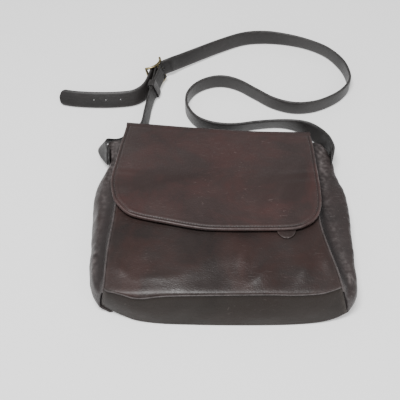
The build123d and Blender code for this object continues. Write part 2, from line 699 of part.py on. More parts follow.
# ---- write every piece --------------------------------------------------------------
os.makedirs("parts", exist_ok=True)
save(front_panel(), "front_panel")
save(back_panel(), "back_panel")
save(base_panel(), "base_panel")
save(gusset(-1, LEFT_SEAM, BACK_LEFT, LEFT_GUSSET_TOP), "left_gusset")
save(gusset(1, RIGHT_SEAM, BACK_RIGHT, RIGHT_GUSSET_TOP), "right_gusset")
save(side_piping(LEFT_SEAM), "left_piping")
save(side_piping(RIGHT_SEAM), "right_piping")
save(base_piping(), "base_piping")
save(mouth_hem(), "mouth_hem")
save(lining(), "lining")
save(base_board(), "base_board")
save(pocket_bag(), "pocket_bag")
save(zip_tapes(), "zip_tapes")
save(zip_teeth(), "zip_teeth")
save(zip_stops(), "zip_stops")
save(zip_slider(), "zip_slider")
save(pull_link(), "pull_link")
save(pull_tab(), "pull_tab")
save(snap_socket(), "snap_socket")
save(snap_socket_washer(), "snap_socket_washer")
save(snap_stud(), "snap_stud")
save(flap_leather(), "flap_leather")
save(flap_lining(), "flap_lining")
save(flap_edge_binding(), "flap_edge_binding")
save(root_patch(-1), "left_root_patch")
save(root_patch(1), "right_root_patch")
save(long_strap(), "long_strap")
save(short_strap(), "short_strap")
save(keeper_loop(), "keeper_loop")
save(buckle_frame(), "buckle_frame")
save(buckle_prong(), "buckle_prong")
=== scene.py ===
import math
import bmesh
import bpy
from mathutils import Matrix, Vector, noise


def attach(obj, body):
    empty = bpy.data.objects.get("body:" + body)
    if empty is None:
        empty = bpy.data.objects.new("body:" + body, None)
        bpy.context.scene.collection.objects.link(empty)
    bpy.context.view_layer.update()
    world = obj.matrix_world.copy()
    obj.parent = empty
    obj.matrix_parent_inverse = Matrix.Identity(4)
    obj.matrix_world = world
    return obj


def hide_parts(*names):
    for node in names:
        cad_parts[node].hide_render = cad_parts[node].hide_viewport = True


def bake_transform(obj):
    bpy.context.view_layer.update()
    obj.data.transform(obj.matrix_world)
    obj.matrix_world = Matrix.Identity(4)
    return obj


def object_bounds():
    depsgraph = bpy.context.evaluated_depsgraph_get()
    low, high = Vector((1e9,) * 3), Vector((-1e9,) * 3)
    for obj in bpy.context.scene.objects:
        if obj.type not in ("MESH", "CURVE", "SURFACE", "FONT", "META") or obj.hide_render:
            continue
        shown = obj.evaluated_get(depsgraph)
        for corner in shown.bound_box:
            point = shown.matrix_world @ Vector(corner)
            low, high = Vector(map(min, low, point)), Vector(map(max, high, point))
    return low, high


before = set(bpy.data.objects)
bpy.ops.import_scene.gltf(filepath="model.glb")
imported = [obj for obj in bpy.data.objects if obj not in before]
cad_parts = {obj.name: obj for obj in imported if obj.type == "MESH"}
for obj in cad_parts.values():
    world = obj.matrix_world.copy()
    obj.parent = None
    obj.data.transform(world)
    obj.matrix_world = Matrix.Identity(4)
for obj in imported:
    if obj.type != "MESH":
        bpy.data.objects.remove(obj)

# Looks of the leather sling bag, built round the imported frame. The frame is in metres:
# the bag lies on its back, +X to its right, +Y towards the fold of its flap, +Z up.
# Shapes below are written in millimetres and scaled by MM when they become meshes.
MM = 0.001
CAD_BOX = [list(corner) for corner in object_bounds()]


# ---- curves -------------------------------------------------------------------------
def smooth_points(points, steps):
    """Smooth curve (Catmull-Rom) through control points of any number of values."""
    result = []
    last = len(points) - 1
    for i in range(last):
        p0, p1, p2, p3 = points[max(i - 1, 0)], points[i], points[i + 1], points[min(i + 2, last)]
        for step in range(steps):
            t = step / steps
            values = []
            for a, b, c, d in zip(p0, p1, p2, p3):
                linear = (c - a) * t
                square = (2 * a - 5 * b + 4 * c - d) * t * t
                cube = (3 * b - a - 3 * c + d) * t * t * t
                values.append(b + 0.5 * (linear + square + cube))
            result.append(tuple(values))
    result.append(tuple(points[last]))
    return result


def bracket(keys, value):
    """Places of the two neighbours in a rising list that a value lies between."""
    low, high = 0, len(keys) - 1
    while high - low > 1:
        middle = (low + high) // 2
        if keys[middle] <= value:
            low = middle
        else:
            high = middle
    return low, high


CURVE_STEPS = 16
TINY = 1e-9


class Curve:
    """Smooth curve of a value over a key, read at any key."""

    def __init__(self, points):
        self.points = smooth_points(points, CURVE_STEPS)
        self.keys = [point[0] for point in self.points]

    def __call__(self, key):
        key = min(max(key, self.keys[0]), self.keys[-1])
        low, high = bracket(self.keys, key)
        (k0, v0), (k1, v1) = self.points[low], self.points[high]
        return v0 + (v1 - v0) * (key - k0) / max(k1 - k0, TINY)


class Path:
    """Smooth path of points, read at a share of its length."""

    def __init__(self, points, steps=CURVE_STEPS):
        self.points = [Vector(p) for p in smooth_points(points, steps)]
        self.reach = [0.0]
        for a, b in zip(self.points, self.points[1:]):
            self.reach.append(self.reach[-1] + (b - a).length)
        self.length = self.reach[-1]

    def __call__(self, share):
        target = min(max(share, 0.0), 1.0) * self.length
        low, high = bracket(self.reach, target)
        t = (target - self.reach[low]) / max(self.reach[high] - self.reach[low], TINY)
        return self.points[low].lerp(self.points[high], t)


def mix(a, b, t):
    """Straight blend of two numbers."""
    return a + (b - a) * t


def ease(edge0, edge1, x):
    """0 before edge0, 1 after edge1, smooth between."""
    t = min(max((x - edge0) / (edge1 - edge0), 0.0), 1.0)
    return t * t * (3 - 2 * t)


def bump(x, centre, width):
    """Smooth hill of height 1."""
    return math.exp(-((x - centre) / width) ** 2)


def ridge(x, y, x0, y0, angle, length, width):
    """Long narrow hill of height 1 lying at an angle in degrees."""
    a = math.radians(angle)
    along = (x - x0) * math.cos(a) + (y - y0) * math.sin(a)
    across = -(x - x0) * math.sin(a) + (y - y0) * math.cos(a)
    return math.exp(-(along / length) ** 2 - (across / width) ** 2)


def wave(x, y, z, size, seed=0.0):
    """Soft noise of about -1 to 1 with features of a given size."""
    return noise.noise(Vector((x / size + seed, y / size - seed, z / size + 0.5 * seed)))


# ---- meshes -------------------------------------------------------------------------
def new_object(name, mesh):
    """Link a mesh as an object with smooth faces."""
    for polygon in mesh.polygons:
        polygon.use_smooth = True
    obj = bpy.data.objects.new(name, mesh)
    bpy.context.scene.collection.objects.link(obj)
    return obj


def mesh_from(name, points, faces):
    """Object from points in millimetres and faces."""
    mesh = bpy.data.meshes.new(name)
    mesh.from_pydata([Vector(p) * MM for p in points], [], faces)
    mesh.validate()
    mesh.update()
    return new_object(name, mesh)


def grid_faces(rows, columns, closed=False, flip=False):
    """Quads of a grid of points stored row by row."""
    faces = []
    span = columns if closed else columns - 1
    for row in range(rows - 1):
        for column in range(span):
            a = row * columns + column
            b = row * columns + (column + 1) % columns
            quad = (a, b, b + columns, a + columns)
            faces.append(tuple(reversed(quad)) if flip else quad)
    return faces


def bar_faces(rings, sides):
    """Faces of a bar made of equal rings and closed at both ends."""
    faces = grid_faces(rings, sides, closed=True)
    last = (rings - 1) * sides
    faces.append(tuple(reversed(range(sides))))
    faces.append(tuple(range(last, last + sides)))
    return faces


def circle(count):
    """Directions round a full turn as (cosine, sine) pairs."""
    angles = [2 * math.pi * k / count for k in range(count)]
    return [(math.cos(angle), math.sin(angle)) for angle in angles]


def grid(name, rows, columns, point, flip=False):
    """Object from a function of two shares from 0 to 1."""
    points = []
    for row in range(rows):
        for column in range(columns):
            points.append(point(column / (columns - 1), row / (rows - 1)))
    return mesh_from(name, points, grid_faces(rows, columns, flip=flip))


def thicken(obj, thickness, offset=-1.0):
    """Give a sheet its thickness."""
    modifier = obj.modifiers.new("Thickness", "SOLIDIFY")
    modifier.thickness = thickness * MM
    modifier.offset = offset
    modifier.use_even_offset = False


def apply_modifiers(obj):
    """Replace an object's mesh by its modified mesh."""
    bpy.context.view_layer.update()
    graph = bpy.context.evaluated_depsgraph_get()
    mesh = bpy.data.meshes.new_from_object(obj.evaluated_get(graph), depsgraph=graph)
    obj.modifiers.clear()
    obj.data = mesh
    for polygon in mesh.polygons:
        polygon.use_smooth = True
    return obj


def store(obj, name, values):
    """Keep one number per point for the material."""
    attribute = obj.data.attributes.get(name) or obj.data.attributes.new(name, "FLOAT", "POINT")
    attribute.data.foreach_set("value", values)


def mark(obj, rub_and_highlight=0.0, shade=0.0):
    """Same rubbed wear, partly painted highlight, and same painted shade all over a piece."""
    count = len(obj.data.vertices)
    store(obj, "rub_and_highlight", [rub_and_highlight] * count)
    store(obj, "shade", [shade] * count)


EDGE_RUB = 0.5


def mark_edges(obj, rows, columns, width_u, width_v):
    """Store how near each grid point is to the sheet's border, for rubbed edges."""
    rub_and_highlight = []
    for row in range(rows):
        for column in range(columns):
            u, v = column / (columns - 1), row / (rows - 1)
            near = max(bump(u, 0, width_u), bump(u, 1, width_u), bump(v, 0, width_v), bump(v, 1, width_v))
            rub_and_highlight.append(EDGE_RUB * near)
    mark(obj)
    store(obj, "rub_and_highlight", rub_and_highlight)


def sheet(name, rows, columns, point, thickness, flip=False, edges=None, offset=-1.0):
    """Thick sheet from a function of two shares, with rubbed edges of given widths."""
    obj = grid(name, rows, columns, point, flip)
    if edges:
        mark_edges(obj, rows, columns, *edges)
    thicken(obj, thickness, offset)
    return apply_modifiers(obj)


CORD_SIDES = 10


def cord(name, points, radius):
    """Round cord through points in millimetres."""
    points = [Vector(p) for p in points]
    ring_points = []
    for i, centre in enumerate(points):
        travel = (points[min(i + 1, len(points) - 1)] - points[max(i - 1, 0)]).normalized()
        side = travel.cross(Vector((0, 0, 1))).normalized()
        up = side.cross(travel)
        for c, s in circle(CORD_SIDES):
            ring_points.append(centre + side * c * radius + up * s * radius)
    return mesh_from(name, ring_points, bar_faces(len(points), CORD_SIDES))


def join_meshes(name, objects):
    """Make one object of several."""
    joined = bmesh.new()
    for obj in objects:
        joined.from_mesh(obj.data)
        bpy.data.objects.remove(obj)
    mesh = bpy.data.meshes.new(name)
    joined.to_mesh(mesh)
    joined.free()
    return new_object(name, mesh)


# ---- material parts -----------------------------------------------------------------
class Nodes:
    """Short way to wire a node material."""

    def __init__(self, name):
        self.material = bpy.data.materials.new(name)
        self.material.use_nodes = True
        self.tree = self.material.node_tree
        self.tree.nodes.clear()
        self.shader = self.tree.nodes.new("ShaderNodeBsdfPrincipled")
        output = self.tree.nodes.new("ShaderNodeOutputMaterial")
        self.tree.links.new(self.shader.outputs["BSDF"], output.inputs["Surface"])
        self.place = self.tree.nodes.new("ShaderNodeTexCoord").outputs["Object"]

    def put(self, target, value):
        """Link a socket's input to another node, or give it a value."""
        if isinstance(value, bpy.types.NodeSocket):
            self.tree.links.new(value, target)
        else:
            target.default_value = value

    def add(self, kind, output, inputs, **settings):
        """New node with its settings and inputs; gives back one of its outputs."""
        node = self.tree.nodes.new(kind)
        for key, value in settings.items():
            setattr(node, key, value)
        for socket, value in inputs.items():
            self.put(node.inputs[socket], value)
        return node.outputs[output]

    def surface(self, inputs):
        """Set the shader's inputs and give back the finished material."""
        for socket, value in inputs.items():
            self.put(self.shader.inputs[socket], value)
        return self.material

    def stretch(self, scale):
        return self.add("ShaderNodeMapping", "Vector", {"Vector": self.place, "Scale": scale})

    def noise(self, scale, detail=4.0, rough=0.55, distortion=0.0, vector=None):
        inputs = {"Vector": vector or self.place, "Scale": scale, "Detail": detail,
                  "Roughness": rough, "Distortion": distortion}
        return self.add("ShaderNodeTexNoise", "Fac", inputs)

    def cells(self, scale):
        inputs = {"Vector": self.place, "Scale": scale}
        return self.add("ShaderNodeTexVoronoi", "Distance", inputs, feature="DISTANCE_TO_EDGE")

    def bands(self, scale, direction):
        inputs = {"Vector": self.place, "Scale": scale, "Distortion": 0.6}
        return self.add("ShaderNodeTexWave", "Fac", inputs, wave_type="BANDS", bands_direction=direction)

    def ramp(self, value, *stops):
        """Grey level over a value, from (value, level) stops."""
        node = self.tree.nodes.new("ShaderNodeValToRGB")
        self.put(node.inputs["Fac"], value)
        for element, (position, level) in zip(node.color_ramp.elements, stops):
            element.position = position
            element.color = (level, level, level, 1.0)
        return node.outputs["Color"]

    def math(self, operation, a, b, clamp=False):
        return self.add("ShaderNodeMath", "Value", {0: a, 1: b}, operation=operation, use_clamp=clamp)

    def blend(self, share, a, b):
        """Mix of two colours, each a socket or three numbers."""
        node = self.tree.nodes.new("ShaderNodeMix")
        node.data_type = "RGBA"
        self.put(node.inputs["Factor"], share)
        colours = [socket for socket in node.inputs if socket.type == "RGBA"]
        for target, value in zip(colours, (a, b)):
            self.put(target, value + (1.0,) if isinstance(value, tuple) else value)
        return [socket for socket in node.outputs if socket.type == "RGBA"][0]

    def attribute(self, name):
        return self.add("ShaderNodeAttribute", "Fac", {}, attribute_name=name)

    def relief(self, height, strength, distance, normal=None):
        inputs = {"Height": height, "Strength": strength, "Distance": distance}
        if normal is not None:
            inputs["Normal"] = normal
        return self.add("ShaderNodeBump", "Normal", inputs)


def leather(name, dark, light, patch, rough=(0.34, 0.5), grain=900.0, scuff=0.5, coat=0.08,
            creased=False, specular=0.36):
    """Aged full-grain leather: pebbled grain, mottled dye, scuffs, rubbed edges partly painted as
    highlights, and painted shade.
    """
    n = Nodes(name)
    broad = n.noise(7.0, 5.0, 0.6, 0.8)
    base = n.blend(n.ramp(broad, (0.36, 0.0), (0.66, 1.0)), dark, light)
    # stains of a redder dye in soft clouds
    cloudy = n.ramp(n.noise(17.0, 6.0, 0.64, 0.5), (0.44, 0.0), (0.64, 1.0))
    base = n.blend(n.math("MULTIPLY", cloudy, 0.7), base, patch)
    # fine speckle where the dye has worn thin
    speckle = n.ramp(n.noise(420.0, 3.0, 0.7), (0.5, 0.0), (0.75, 1.0))
    base = n.blend(n.math("MULTIPLY", speckle, 0.22), base, light)
    # light colour for scratches, rubbed wear and painted highlights
    worn = tuple(min(1.0, c * 3.0 + 0.045) for c in light)
    # scratches: thin stretched noise that shows only in scuffed places
    streak = n.noise(1.0, 8.0, 0.72, 2.2, n.stretch((70.0, 330.0, 90.0)))
    scratch = n.ramp(streak, (0.595, 0.0), (0.685, 0.8))
    zone = n.ramp(n.noise(15.0, 2.0, 0.5), (0.46, 0.0), (0.60, 1.0))
    scratch = n.math("MULTIPLY", scratch, zone)
    base = n.blend(n.math("MULTIPLY", scratch, scuff), base, worn)
    # rubbed places, partly painted highlights, and painted shade, all stored on the mesh
    rub_and_highlight = n.attribute("rub_and_highlight")
    rub_noise = n.ramp(n.noise(150.0, 6.0, 0.7), (0.36, 0.15), (0.62, 1.0))
    rub_and_highlight = n.math("MULTIPLY", rub_and_highlight, rub_noise, clamp=True)
    base = n.blend(n.math("MULTIPLY", rub_and_highlight, 0.75), base, worn)
    # painted shade: the colour is pulled towards a deep tone where the mesh stores shade
    deep = tuple(c * 0.3 for c in dark)
    base = n.blend(n.math("MULTIPLY", n.attribute("shade"), 0.9, clamp=True), base, deep)
    # relief: slack waves, pebbled grain, pores
    normal = n.relief(n.noise(60.0, 5.0, 0.6), 0.25, 0.0012)
    normal = n.relief(n.noise(260.0, 4.0, 0.6), 0.35, 0.0006, normal)
    if creased:
        fold = n.noise(1.0, 5.0, 0.65, 1.2, n.stretch((140.0, 60.0, 140.0)))
        normal = n.relief(fold, 0.5, 0.0012, normal)
    pebble = n.ramp(n.cells(grain * 0.5), (0.0, 0.0), (0.34, 1.0))
    normal = n.relief(pebble, 0.3, 0.0002, normal)
    normal = n.relief(n.noise(grain * 1.3, 4.0, 0.7), 0.3, 0.0002, normal)
    normal = n.relief(scratch, 0.25, 0.00012, normal)
    low, high = rough
    gloss = n.ramp(n.noise(30.0, 6.0, 0.65), (0.3, low), (0.72, high))
    dull = n.math("MULTIPLY", n.attribute("shade"), 0.35)
    gloss = n.math("ADD", gloss, n.math("ADD", dull, n.math("MULTIPLY", rub_and_highlight, 0.1)), clamp=True)
    return n.surface({"Base Color": base, "Normal": normal, "Roughness": gloss,
                      "Specular IOR Level": specular, "Coat Weight": coat, "Coat Roughness": 0.28})


WAVE_TURN = 6.3      # brings the fineness of a weave to the scale of the wave texture


def cloth(name, dark, light, weave=1400.0):
    """Woven lining, tape or thread."""
    n = Nodes(name)
    threads = n.math("MULTIPLY", n.bands(weave / WAVE_TURN, "X"), n.bands(weave / WAVE_TURN, "Y"))
    base = n.blend(n.ramp(n.noise(30.0, 5.0, 0.6), (0.35, 0.0), (0.7, 1.0)), dark, light)
    base = n.blend(n.math("MULTIPLY", threads, 0.4), base, light)
    return n.surface({"Base Color": base, "Normal": n.relief(threads, 0.5, 0.0002),
                      "Roughness": 0.85, "Sheen Weight": 0.25})


def antique_brass(name, dark, light):
    """Dull brass with patches of brown tarnish and fine wear."""
    n = Nodes(name)
    tarnish = n.ramp(n.noise(180.0, 6.0, 0.7), (0.4, 0.0), (0.66, 1.0))
    gloss = n.ramp(n.noise(420.0, 4.0, 0.6), (0.3, 0.26), (0.7, 0.5))
    return n.surface({"Base Color": n.blend(tarnish, light, dark), "Roughness": gloss, "Metallic": 1.0,
                      "Normal": n.relief(n.noise(700.0, 4.0, 0.6), 0.15, 0.0001)})


def fibre_board(name, dark, light):
    """Pressed fibre board."""
    n = Nodes(name)
    fleck = n.ramp(n.noise(260.0, 6.0, 0.7), (0.35, 0.0), (0.7, 1.0))
    return n.surface({"Base Color": n.blend(fleck, dark, light), "Roughness": 0.9,
                      "Normal": n.relief(n.noise(500.0, 4.0, 0.6), 0.3, 0.0003)})


FRONT = leather("front_leather", (0.0195, 0.0140, 0.0130), (0.032, 0.0235, 0.0220), (0.040, 0.0195, 0.0170),
                coat=0.05, specular=0.29)
BASE = leather("base_leather", (0.0180, 0.0145, 0.0125), (0.0280, 0.0222, 0.0192), (0.0235, 0.0168, 0.0145),
               rough=(0.58, 0.7), scuff=0.4, coat=0.0, specular=0.16)
SIDES = leather("gusset_leather", (0.0235, 0.0190, 0.0188), (0.048, 0.0395, 0.0385), (0.038, 0.0270, 0.0262),
                rough=(0.40, 0.56), scuff=1.0, coat=0.03, creased=True, specular=0.3)
FLAP = leather("flap_leather", (0.0265, 0.0160, 0.0150), (0.044, 0.0285, 0.0265), (0.055, 0.0225, 0.0205),
               rough=(0.34, 0.52), scuff=1.0, coat=0.08)
STRAP = leather("strap_leather", (0.0125, 0.0115, 0.0113), (0.021, 0.0193, 0.0190), (0.020, 0.0170, 0.0165),
                rough=(0.38, 0.54), grain=1200.0, scuff=0.25, coat=0.06)
SUEDE = leather("suede", (0.07, 0.045, 0.036), (0.11, 0.075, 0.06), (0.09, 0.06, 0.05),
                rough=(0.8, 0.95), scuff=0.0, coat=0.0)
LINING = cloth("lining_cloth", (0.035, 0.028, 0.022), (0.07, 0.058, 0.046))
TAPE = cloth("zip_tape", (0.012, 0.011, 0.011), (0.03, 0.028, 0.027), 2400.0)
THREAD = cloth("thread", (0.022, 0.016, 0.0145), (0.05, 0.037, 0.033), 4000.0)
BRASS = antique_brass("buckle_brass", (0.10, 0.075, 0.035), (0.46, 0.39, 0.22))
ZIP_METAL = antique_brass("zip_brass", (0.16, 0.12, 0.06), (0.5, 0.41, 0.24))
BOARD = fibre_board("fibre_board", (0.16, 0.12, 0.08), (0.3, 0.24, 0.17))


def dress(obj, material):
    """Give a piece its one material."""
    obj.data.materials.clear()
    obj.data.materials.append(material)


def soft_part(obj, material, node, body=None):
    """Give a piece its material, hide the CAD node it stands for and attach it to the body it rides on, if
    any.
    """
    dress(obj, material)
    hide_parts(node)
    if body:
        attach(obj, body)


# ---- outer shape of the body --------------------------------------------------------
FRONT_CURVE = Curve([(-120, 46.0), (-117, 48.6), (-114.5, 50.6), (-111, 51.6), (-104, 52.2), (-80, 53.4),
                     (-52, 52.2), (-27, 50.6), (0, 49.8), (22, 48.0), (53, 41.0), (81, 33.5), (107, 26.0)])
LEFT_SEAM = Curve([(-112, -117.4), (-100, -116.6), (-64, -115.8), (-21, -112.6), (30, -110.5), (107, -107)])
RIGHT_SEAM = Curve([(-112, 116.2), (-92, 112.9), (-66, 107.0), (-28, 100.8), (30, 99.0), (107, 101)])
BASE_SEAM = Curve([(-118, -107.0), (-114, -110.8), (-106, -112.8), (-97, -115.2), (-88, -117.2),
                   (-78, -117.6), (-55, -116.0), (0, -115.4), (45, -115.0), (70, -115.2), (92, -114.0),
                   (105, -111.0), (117, -106.4)])
TOP_Y = 105.0


# Swells (+) and hollows (-) of the slack leather: height, middle, angle, length and width.
FRONT_FOLDS = [
    (2.6, 20, -66, 66, 17, 8.5), (-1.0, 0, -86, 44, 16, 9), (1.9, 38, -94, 40, 13, 6),
    (2.0, 80, -88, 66, 14, 7), (-0.8, 60, -84, 72, 15, 8), (1.9, 103, -78, 96, 13, 6.5),
    (0.9, -62, -97, 5, 26, 5.0), (-0.5, -66, -80, 8, 26, 8), (1.2, -101, -88, -48, 10, 5),
    (-0.8, 24, -50, 62, 20, 9), (0.8, -30, -84, 30, 18, 9), (-0.7, 94, -66, 70, 16, 7),
]
ZIP_Y = -27.0
ZIP_LEFT = -64.0
ZIP_RIGHT = 80.0
PANEL_Z_AT_ZIP = 50.0
SLOT_HALF = 3.9
SLOT_LEFT = -66.5
SLOT_START, SLOT_END = 0.40, 0.43


FRONT_LEFT, FRONT_RIGHT = -117.6, 116.2


def front_y(x_low, v):
    """Distance up the front panel; the rows beside the zip's slot are straight."""
    if v < SLOT_START:
        return mix(BASE_SEAM(x_low), ZIP_Y - SLOT_HALF, v / SLOT_START)
    if v < SLOT_END:
        return mix(ZIP_Y - SLOT_HALF, ZIP_Y + SLOT_HALF, (v - SLOT_START) / (SLOT_END - SLOT_START))
    return mix(ZIP_Y + SLOT_HALF, TOP_Y, (v - SLOT_END) / (1 - SLOT_END))


def front_point(u, v):
    """Front panel: u from the left seam to the right, v from the base seam to the mouth."""
    y = front_y(mix(FRONT_LEFT, FRONT_RIGHT, u), v)
    x = mix(LEFT_SEAM(y), RIGHT_SEAM(y), u)
    z = FRONT_CURVE(y)
    middle = math.sin(math.pi * u) ** 0.6
    # the panel sinks at its side seams and swells between them
    z -= 1.2 * (1 - middle)
    low = ease(60, -60, y) * ease(0.0, 0.08, v)
    z += 1.1 * low * wave(x, y, 0, 46.0, 3.1) * middle
    z += 0.6 * low * wave(x, y, 0, 19.0, 7.7) * middle
    soft = ease(0.0, 0.07, v)
    for height, x0, y0, angle, length, width in FRONT_FOLDS:
        z += soft * height * ridge(x, y, x0, y0, angle, length, width)
    return (x, y, z)


BASE_LOW = Path([(-123.6, -103.6, 10.0), (-114, -107.6, 6.2), (-101, -112.5, 3.0), (-86, -117.2, 1.0),
                 (-62, -120.4, 0.7), (-30, -121.6, 0.7), (0, -122.2, 0.7), (40, -122.2, 0.7),
                 (72, -121.4, 0.8), (98, -119.4, 1.8), (114, -116.6, 5.2), (125.5, -113.0, 10.5)])


def base_point(u, v):
    """Base panel: u from left to right, v from the front seam down to the back seam."""
    top = Vector(front_point(u, 0.0))
    low = BASE_LOW(u)
    spot = top.lerp(low, v)
    belly = math.sin(math.pi * v)
    spot.y -= belly * (2.4 + 1.2 * wave(spot.x, spot.z, 0, 60, 5.0))
    spot.y -= 0.6 * belly * wave(spot.x, spot.z, 0, 22, 9.0)
    # the panel tucks in just under the seam
    spot.y += 0.8 * bump(v, 0.04, 0.03)
    return tuple(spot)


LEFT_OUT = Curve([(-106, -129.0), (-99, -131.6), (-88, -134.4), (-66, -136.6), (-48, -136.8), (-6, -138.6),
                  (22, -138.4), (38, -136.2), (54, -131.4), (66, -128.0), (82, -128.4), (95, -131.4),
                  (103, -132.2), (110, -130.4)])
RIGHT_OUT = Curve([(-113, 131.5), (-106, 133.4), (-94, 135.4), (-80, 135.9), (-60, 136.2), (-20, 137.2),
                   (14, 137.4), (30, 136.0), (44, 132.2), (58, 129.6), (74, 129.0), (90, 125.6),
                   (105, 119.5)])
LEFT_BACK = Curve([(-106, -119.0), (-60, -119.5), (0, -119.0), (60, -115.5), (112, -108.5)])
RIGHT_BACK = Curve([(-111, 119.0), (-60, 119.5), (0, 119.0), (60, 115.0), (112, 106.0)])


def gusset_profile(side, y, seam, out, back):
    """Section of a gusset from its front seam over the bulge to its back seam."""
    x_seam, x_out, x_back = abs(seam(y)), abs(out(y)), abs(back(y))
    z = FRONT_CURVE(y) - 1.2
    span = x_out - x_seam
    depth = (5.0 if side < 0 else 10.0) * ease(-112, -84, y) * ease(96, 50, y)
    crown = z * (0.80 if side < 0 else 0.70)
    slack = [
        (x_seam, z),
        (x_seam + 0.16 * span, z - 2.0 - depth * 0.7),
        (x_seam + 0.40 * span, min(z - 2.5 - depth, crown + 3)),
        (x_seam + 0.72 * span, crown),
        (x_out - 1.2, z * 0.62),
        (x_out, z * 0.40),
    ]
    # towards the mouth the gusset is stiffer and keeps a square shoulder
    square = [
        (x_seam, z),
        (x_seam + 0.24 * span, z - 0.6),
        (x_seam + 0.52 * span, z - 1.2),
        (x_seam + 0.80 * span, z - 3.4),
        (x_out - 0.6, z * 0.66),
        (x_out, z * 0.40),
    ]
    stiff = ease(66, 94, y)
    points = [(mix(a, c, stiff), mix(b, d, stiff)) for (a, b), (c, d) in zip(slack, square)]
    points += [(mix(x_out, x_back, 0.3), 7.0), (mix(x_out, x_back, 0.75), 2.2), (x_back, 0.9)]
    return smooth_points(points, 6)


def gusset_point(side, u, v):
    """Gusset: u from the front seam round to the back seam, v from the base to the mouth."""
    if side < 0:
        y_low, y_high, seam, out, back = -109.5, 106.5, LEFT_SEAM, LEFT_OUT, LEFT_BACK
    else:
        y_low, y_high, seam, out, back = -112.0, 101.0, RIGHT_SEAM, RIGHT_OUT, RIGHT_BACK
    y = mix(y_low, y_high, v)
    path = gusset_profile(side, y, seam, out, back)
    place = u * (len(path) - 1)
    i = min(int(place), len(path) - 2)
    x = mix(path[i][0], path[i + 1][0], place - i)
    z = mix(path[i][1], path[i + 1][1], place - i)
    loose = math.sin(math.pi * u) ** 0.8 * ease(0.0, 0.1, v) * ease(1.0, 0.86, v)
    # creases: long folds along the gusset and short ones across it
    seed = 11.0 if side < 0 else 23.0
    fold = wave(u * 90, y * 0.5, 0, 15.0, seed) * 1.5
    fold += wave(u * 70, y * 1.4, 0, 9.0, seed + 4) * 0.9
    fold += wave(u * 60, y, 0, 30.0, seed + 9) * 1.2
    outer = bump(u, 0.6, 0.2)
    x += fold * loose * (1 - 0.65 * outer)
    z += 0.5 * fold * loose
    return (side * x, y, max(z, 0.6))


END_SHARE = 0.055


def corner_fold(side, u, v, point):
    """The gusset's lower end rounds inwards and is sewn to the end of the base."""
    if v >= END_SHARE:
        return point
    left = 1 - v / END_SHARE
    tuck = 1 - math.sqrt(max(0.0, 1 - left * left))
    end_top = Vector(front_point(0.0 if side < 0 else 1.0, 0.0))
    end_low = BASE_LOW(0.0 if side < 0 else 1.0)
    back_end = Vector((side * 112.0, -107.0, 1.0))
    if u < 0.75:
        target = end_top.lerp(end_low, u / 0.75)
    else:
        target = end_low.lerp(back_end, (u - 0.75) / 0.25)
    return tuple(Vector(point).lerp(target, tuck))


def left_gusset_point(u, v):
    return corner_fold(-1, u, v, gusset_point(-1, u, v))


def right_gusset_point(u, v):
    return corner_fold(1, u, v, gusset_point(1, u, v))


BACK_FLAT = 0.86         # share of the back panel below its bend
BACK_LOW_Y, BACK_HIGH_Y, BACK_Z = -118.5, 117.5, 0.7
BAND_BEND_R, BAND_RISE = 4.3, 13.2
BEND_SHARE = 0.4
FOLD_SLOPE = 0.0629      # the band turns with the skewed fold of the flap


def back_point(u, v):
    """Back panel: u from left to right, v from the base up and round the top band."""
    if v < BACK_FLAT:
        y = mix(BACK_LOW_Y, BACK_HIGH_Y, v / BACK_FLAT)
        z = BACK_Z + 0.15 * wave(u * 100, y, 0, 30, 2.0)
    else:
        turn = (v - BACK_FLAT) / (1 - BACK_FLAT)
        arc = min(turn / BEND_SHARE, 1.0) * math.pi / 2
        y = BACK_HIGH_Y + BAND_BEND_R * math.sin(arc)
        z = BACK_Z + BAND_BEND_R * (1 - math.cos(arc))
        z += max(turn - BEND_SHARE, 0) / (1 - BEND_SHARE) * BAND_RISE
    skew = ease(60, 112, y) * FOLD_SLOPE
    x_left = LEFT_BACK(y) + 0.4
    x_right = RIGHT_BACK(y) - 0.4
    # the lower corners are cut away round the base panel
    x_low_left = mix(-74, x_left, ease(BACK_LOW_Y, -98, y))
    x_low_right = mix(80, x_right, ease(BACK_LOW_Y, -102, y))
    x = mix(x_low_left, x_low_right, u)
    return (x, y - x * skew, z)


LEATHER = 1.5
PANEL_EDGES = (0.012, 0.012)


def panel(name, rows, columns, point, node, material, flip=False):
    """One leather panel of the body, which replaces its CAD node."""
    obj = sheet(name, rows, columns, point, LEATHER, flip, PANEL_EDGES)
    soft_part(obj, material, node, "body")
    return obj


def cut_slot(obj):
    """Open the front panel along the pocket zip."""
    mesh = bmesh.new()
    mesh.from_mesh(obj.data)
    inside = []
    for face in mesh.faces:
        middle = face.calc_center_median() / MM
        if abs(middle.y - ZIP_Y) < SLOT_HALF and SLOT_LEFT < middle.x < ZIP_RIGHT + 1:
            inside.append(face)
    bmesh.ops.delete(mesh, geom=inside, context="FACES")
    mesh.to_mesh(obj.data)
    mesh.free()


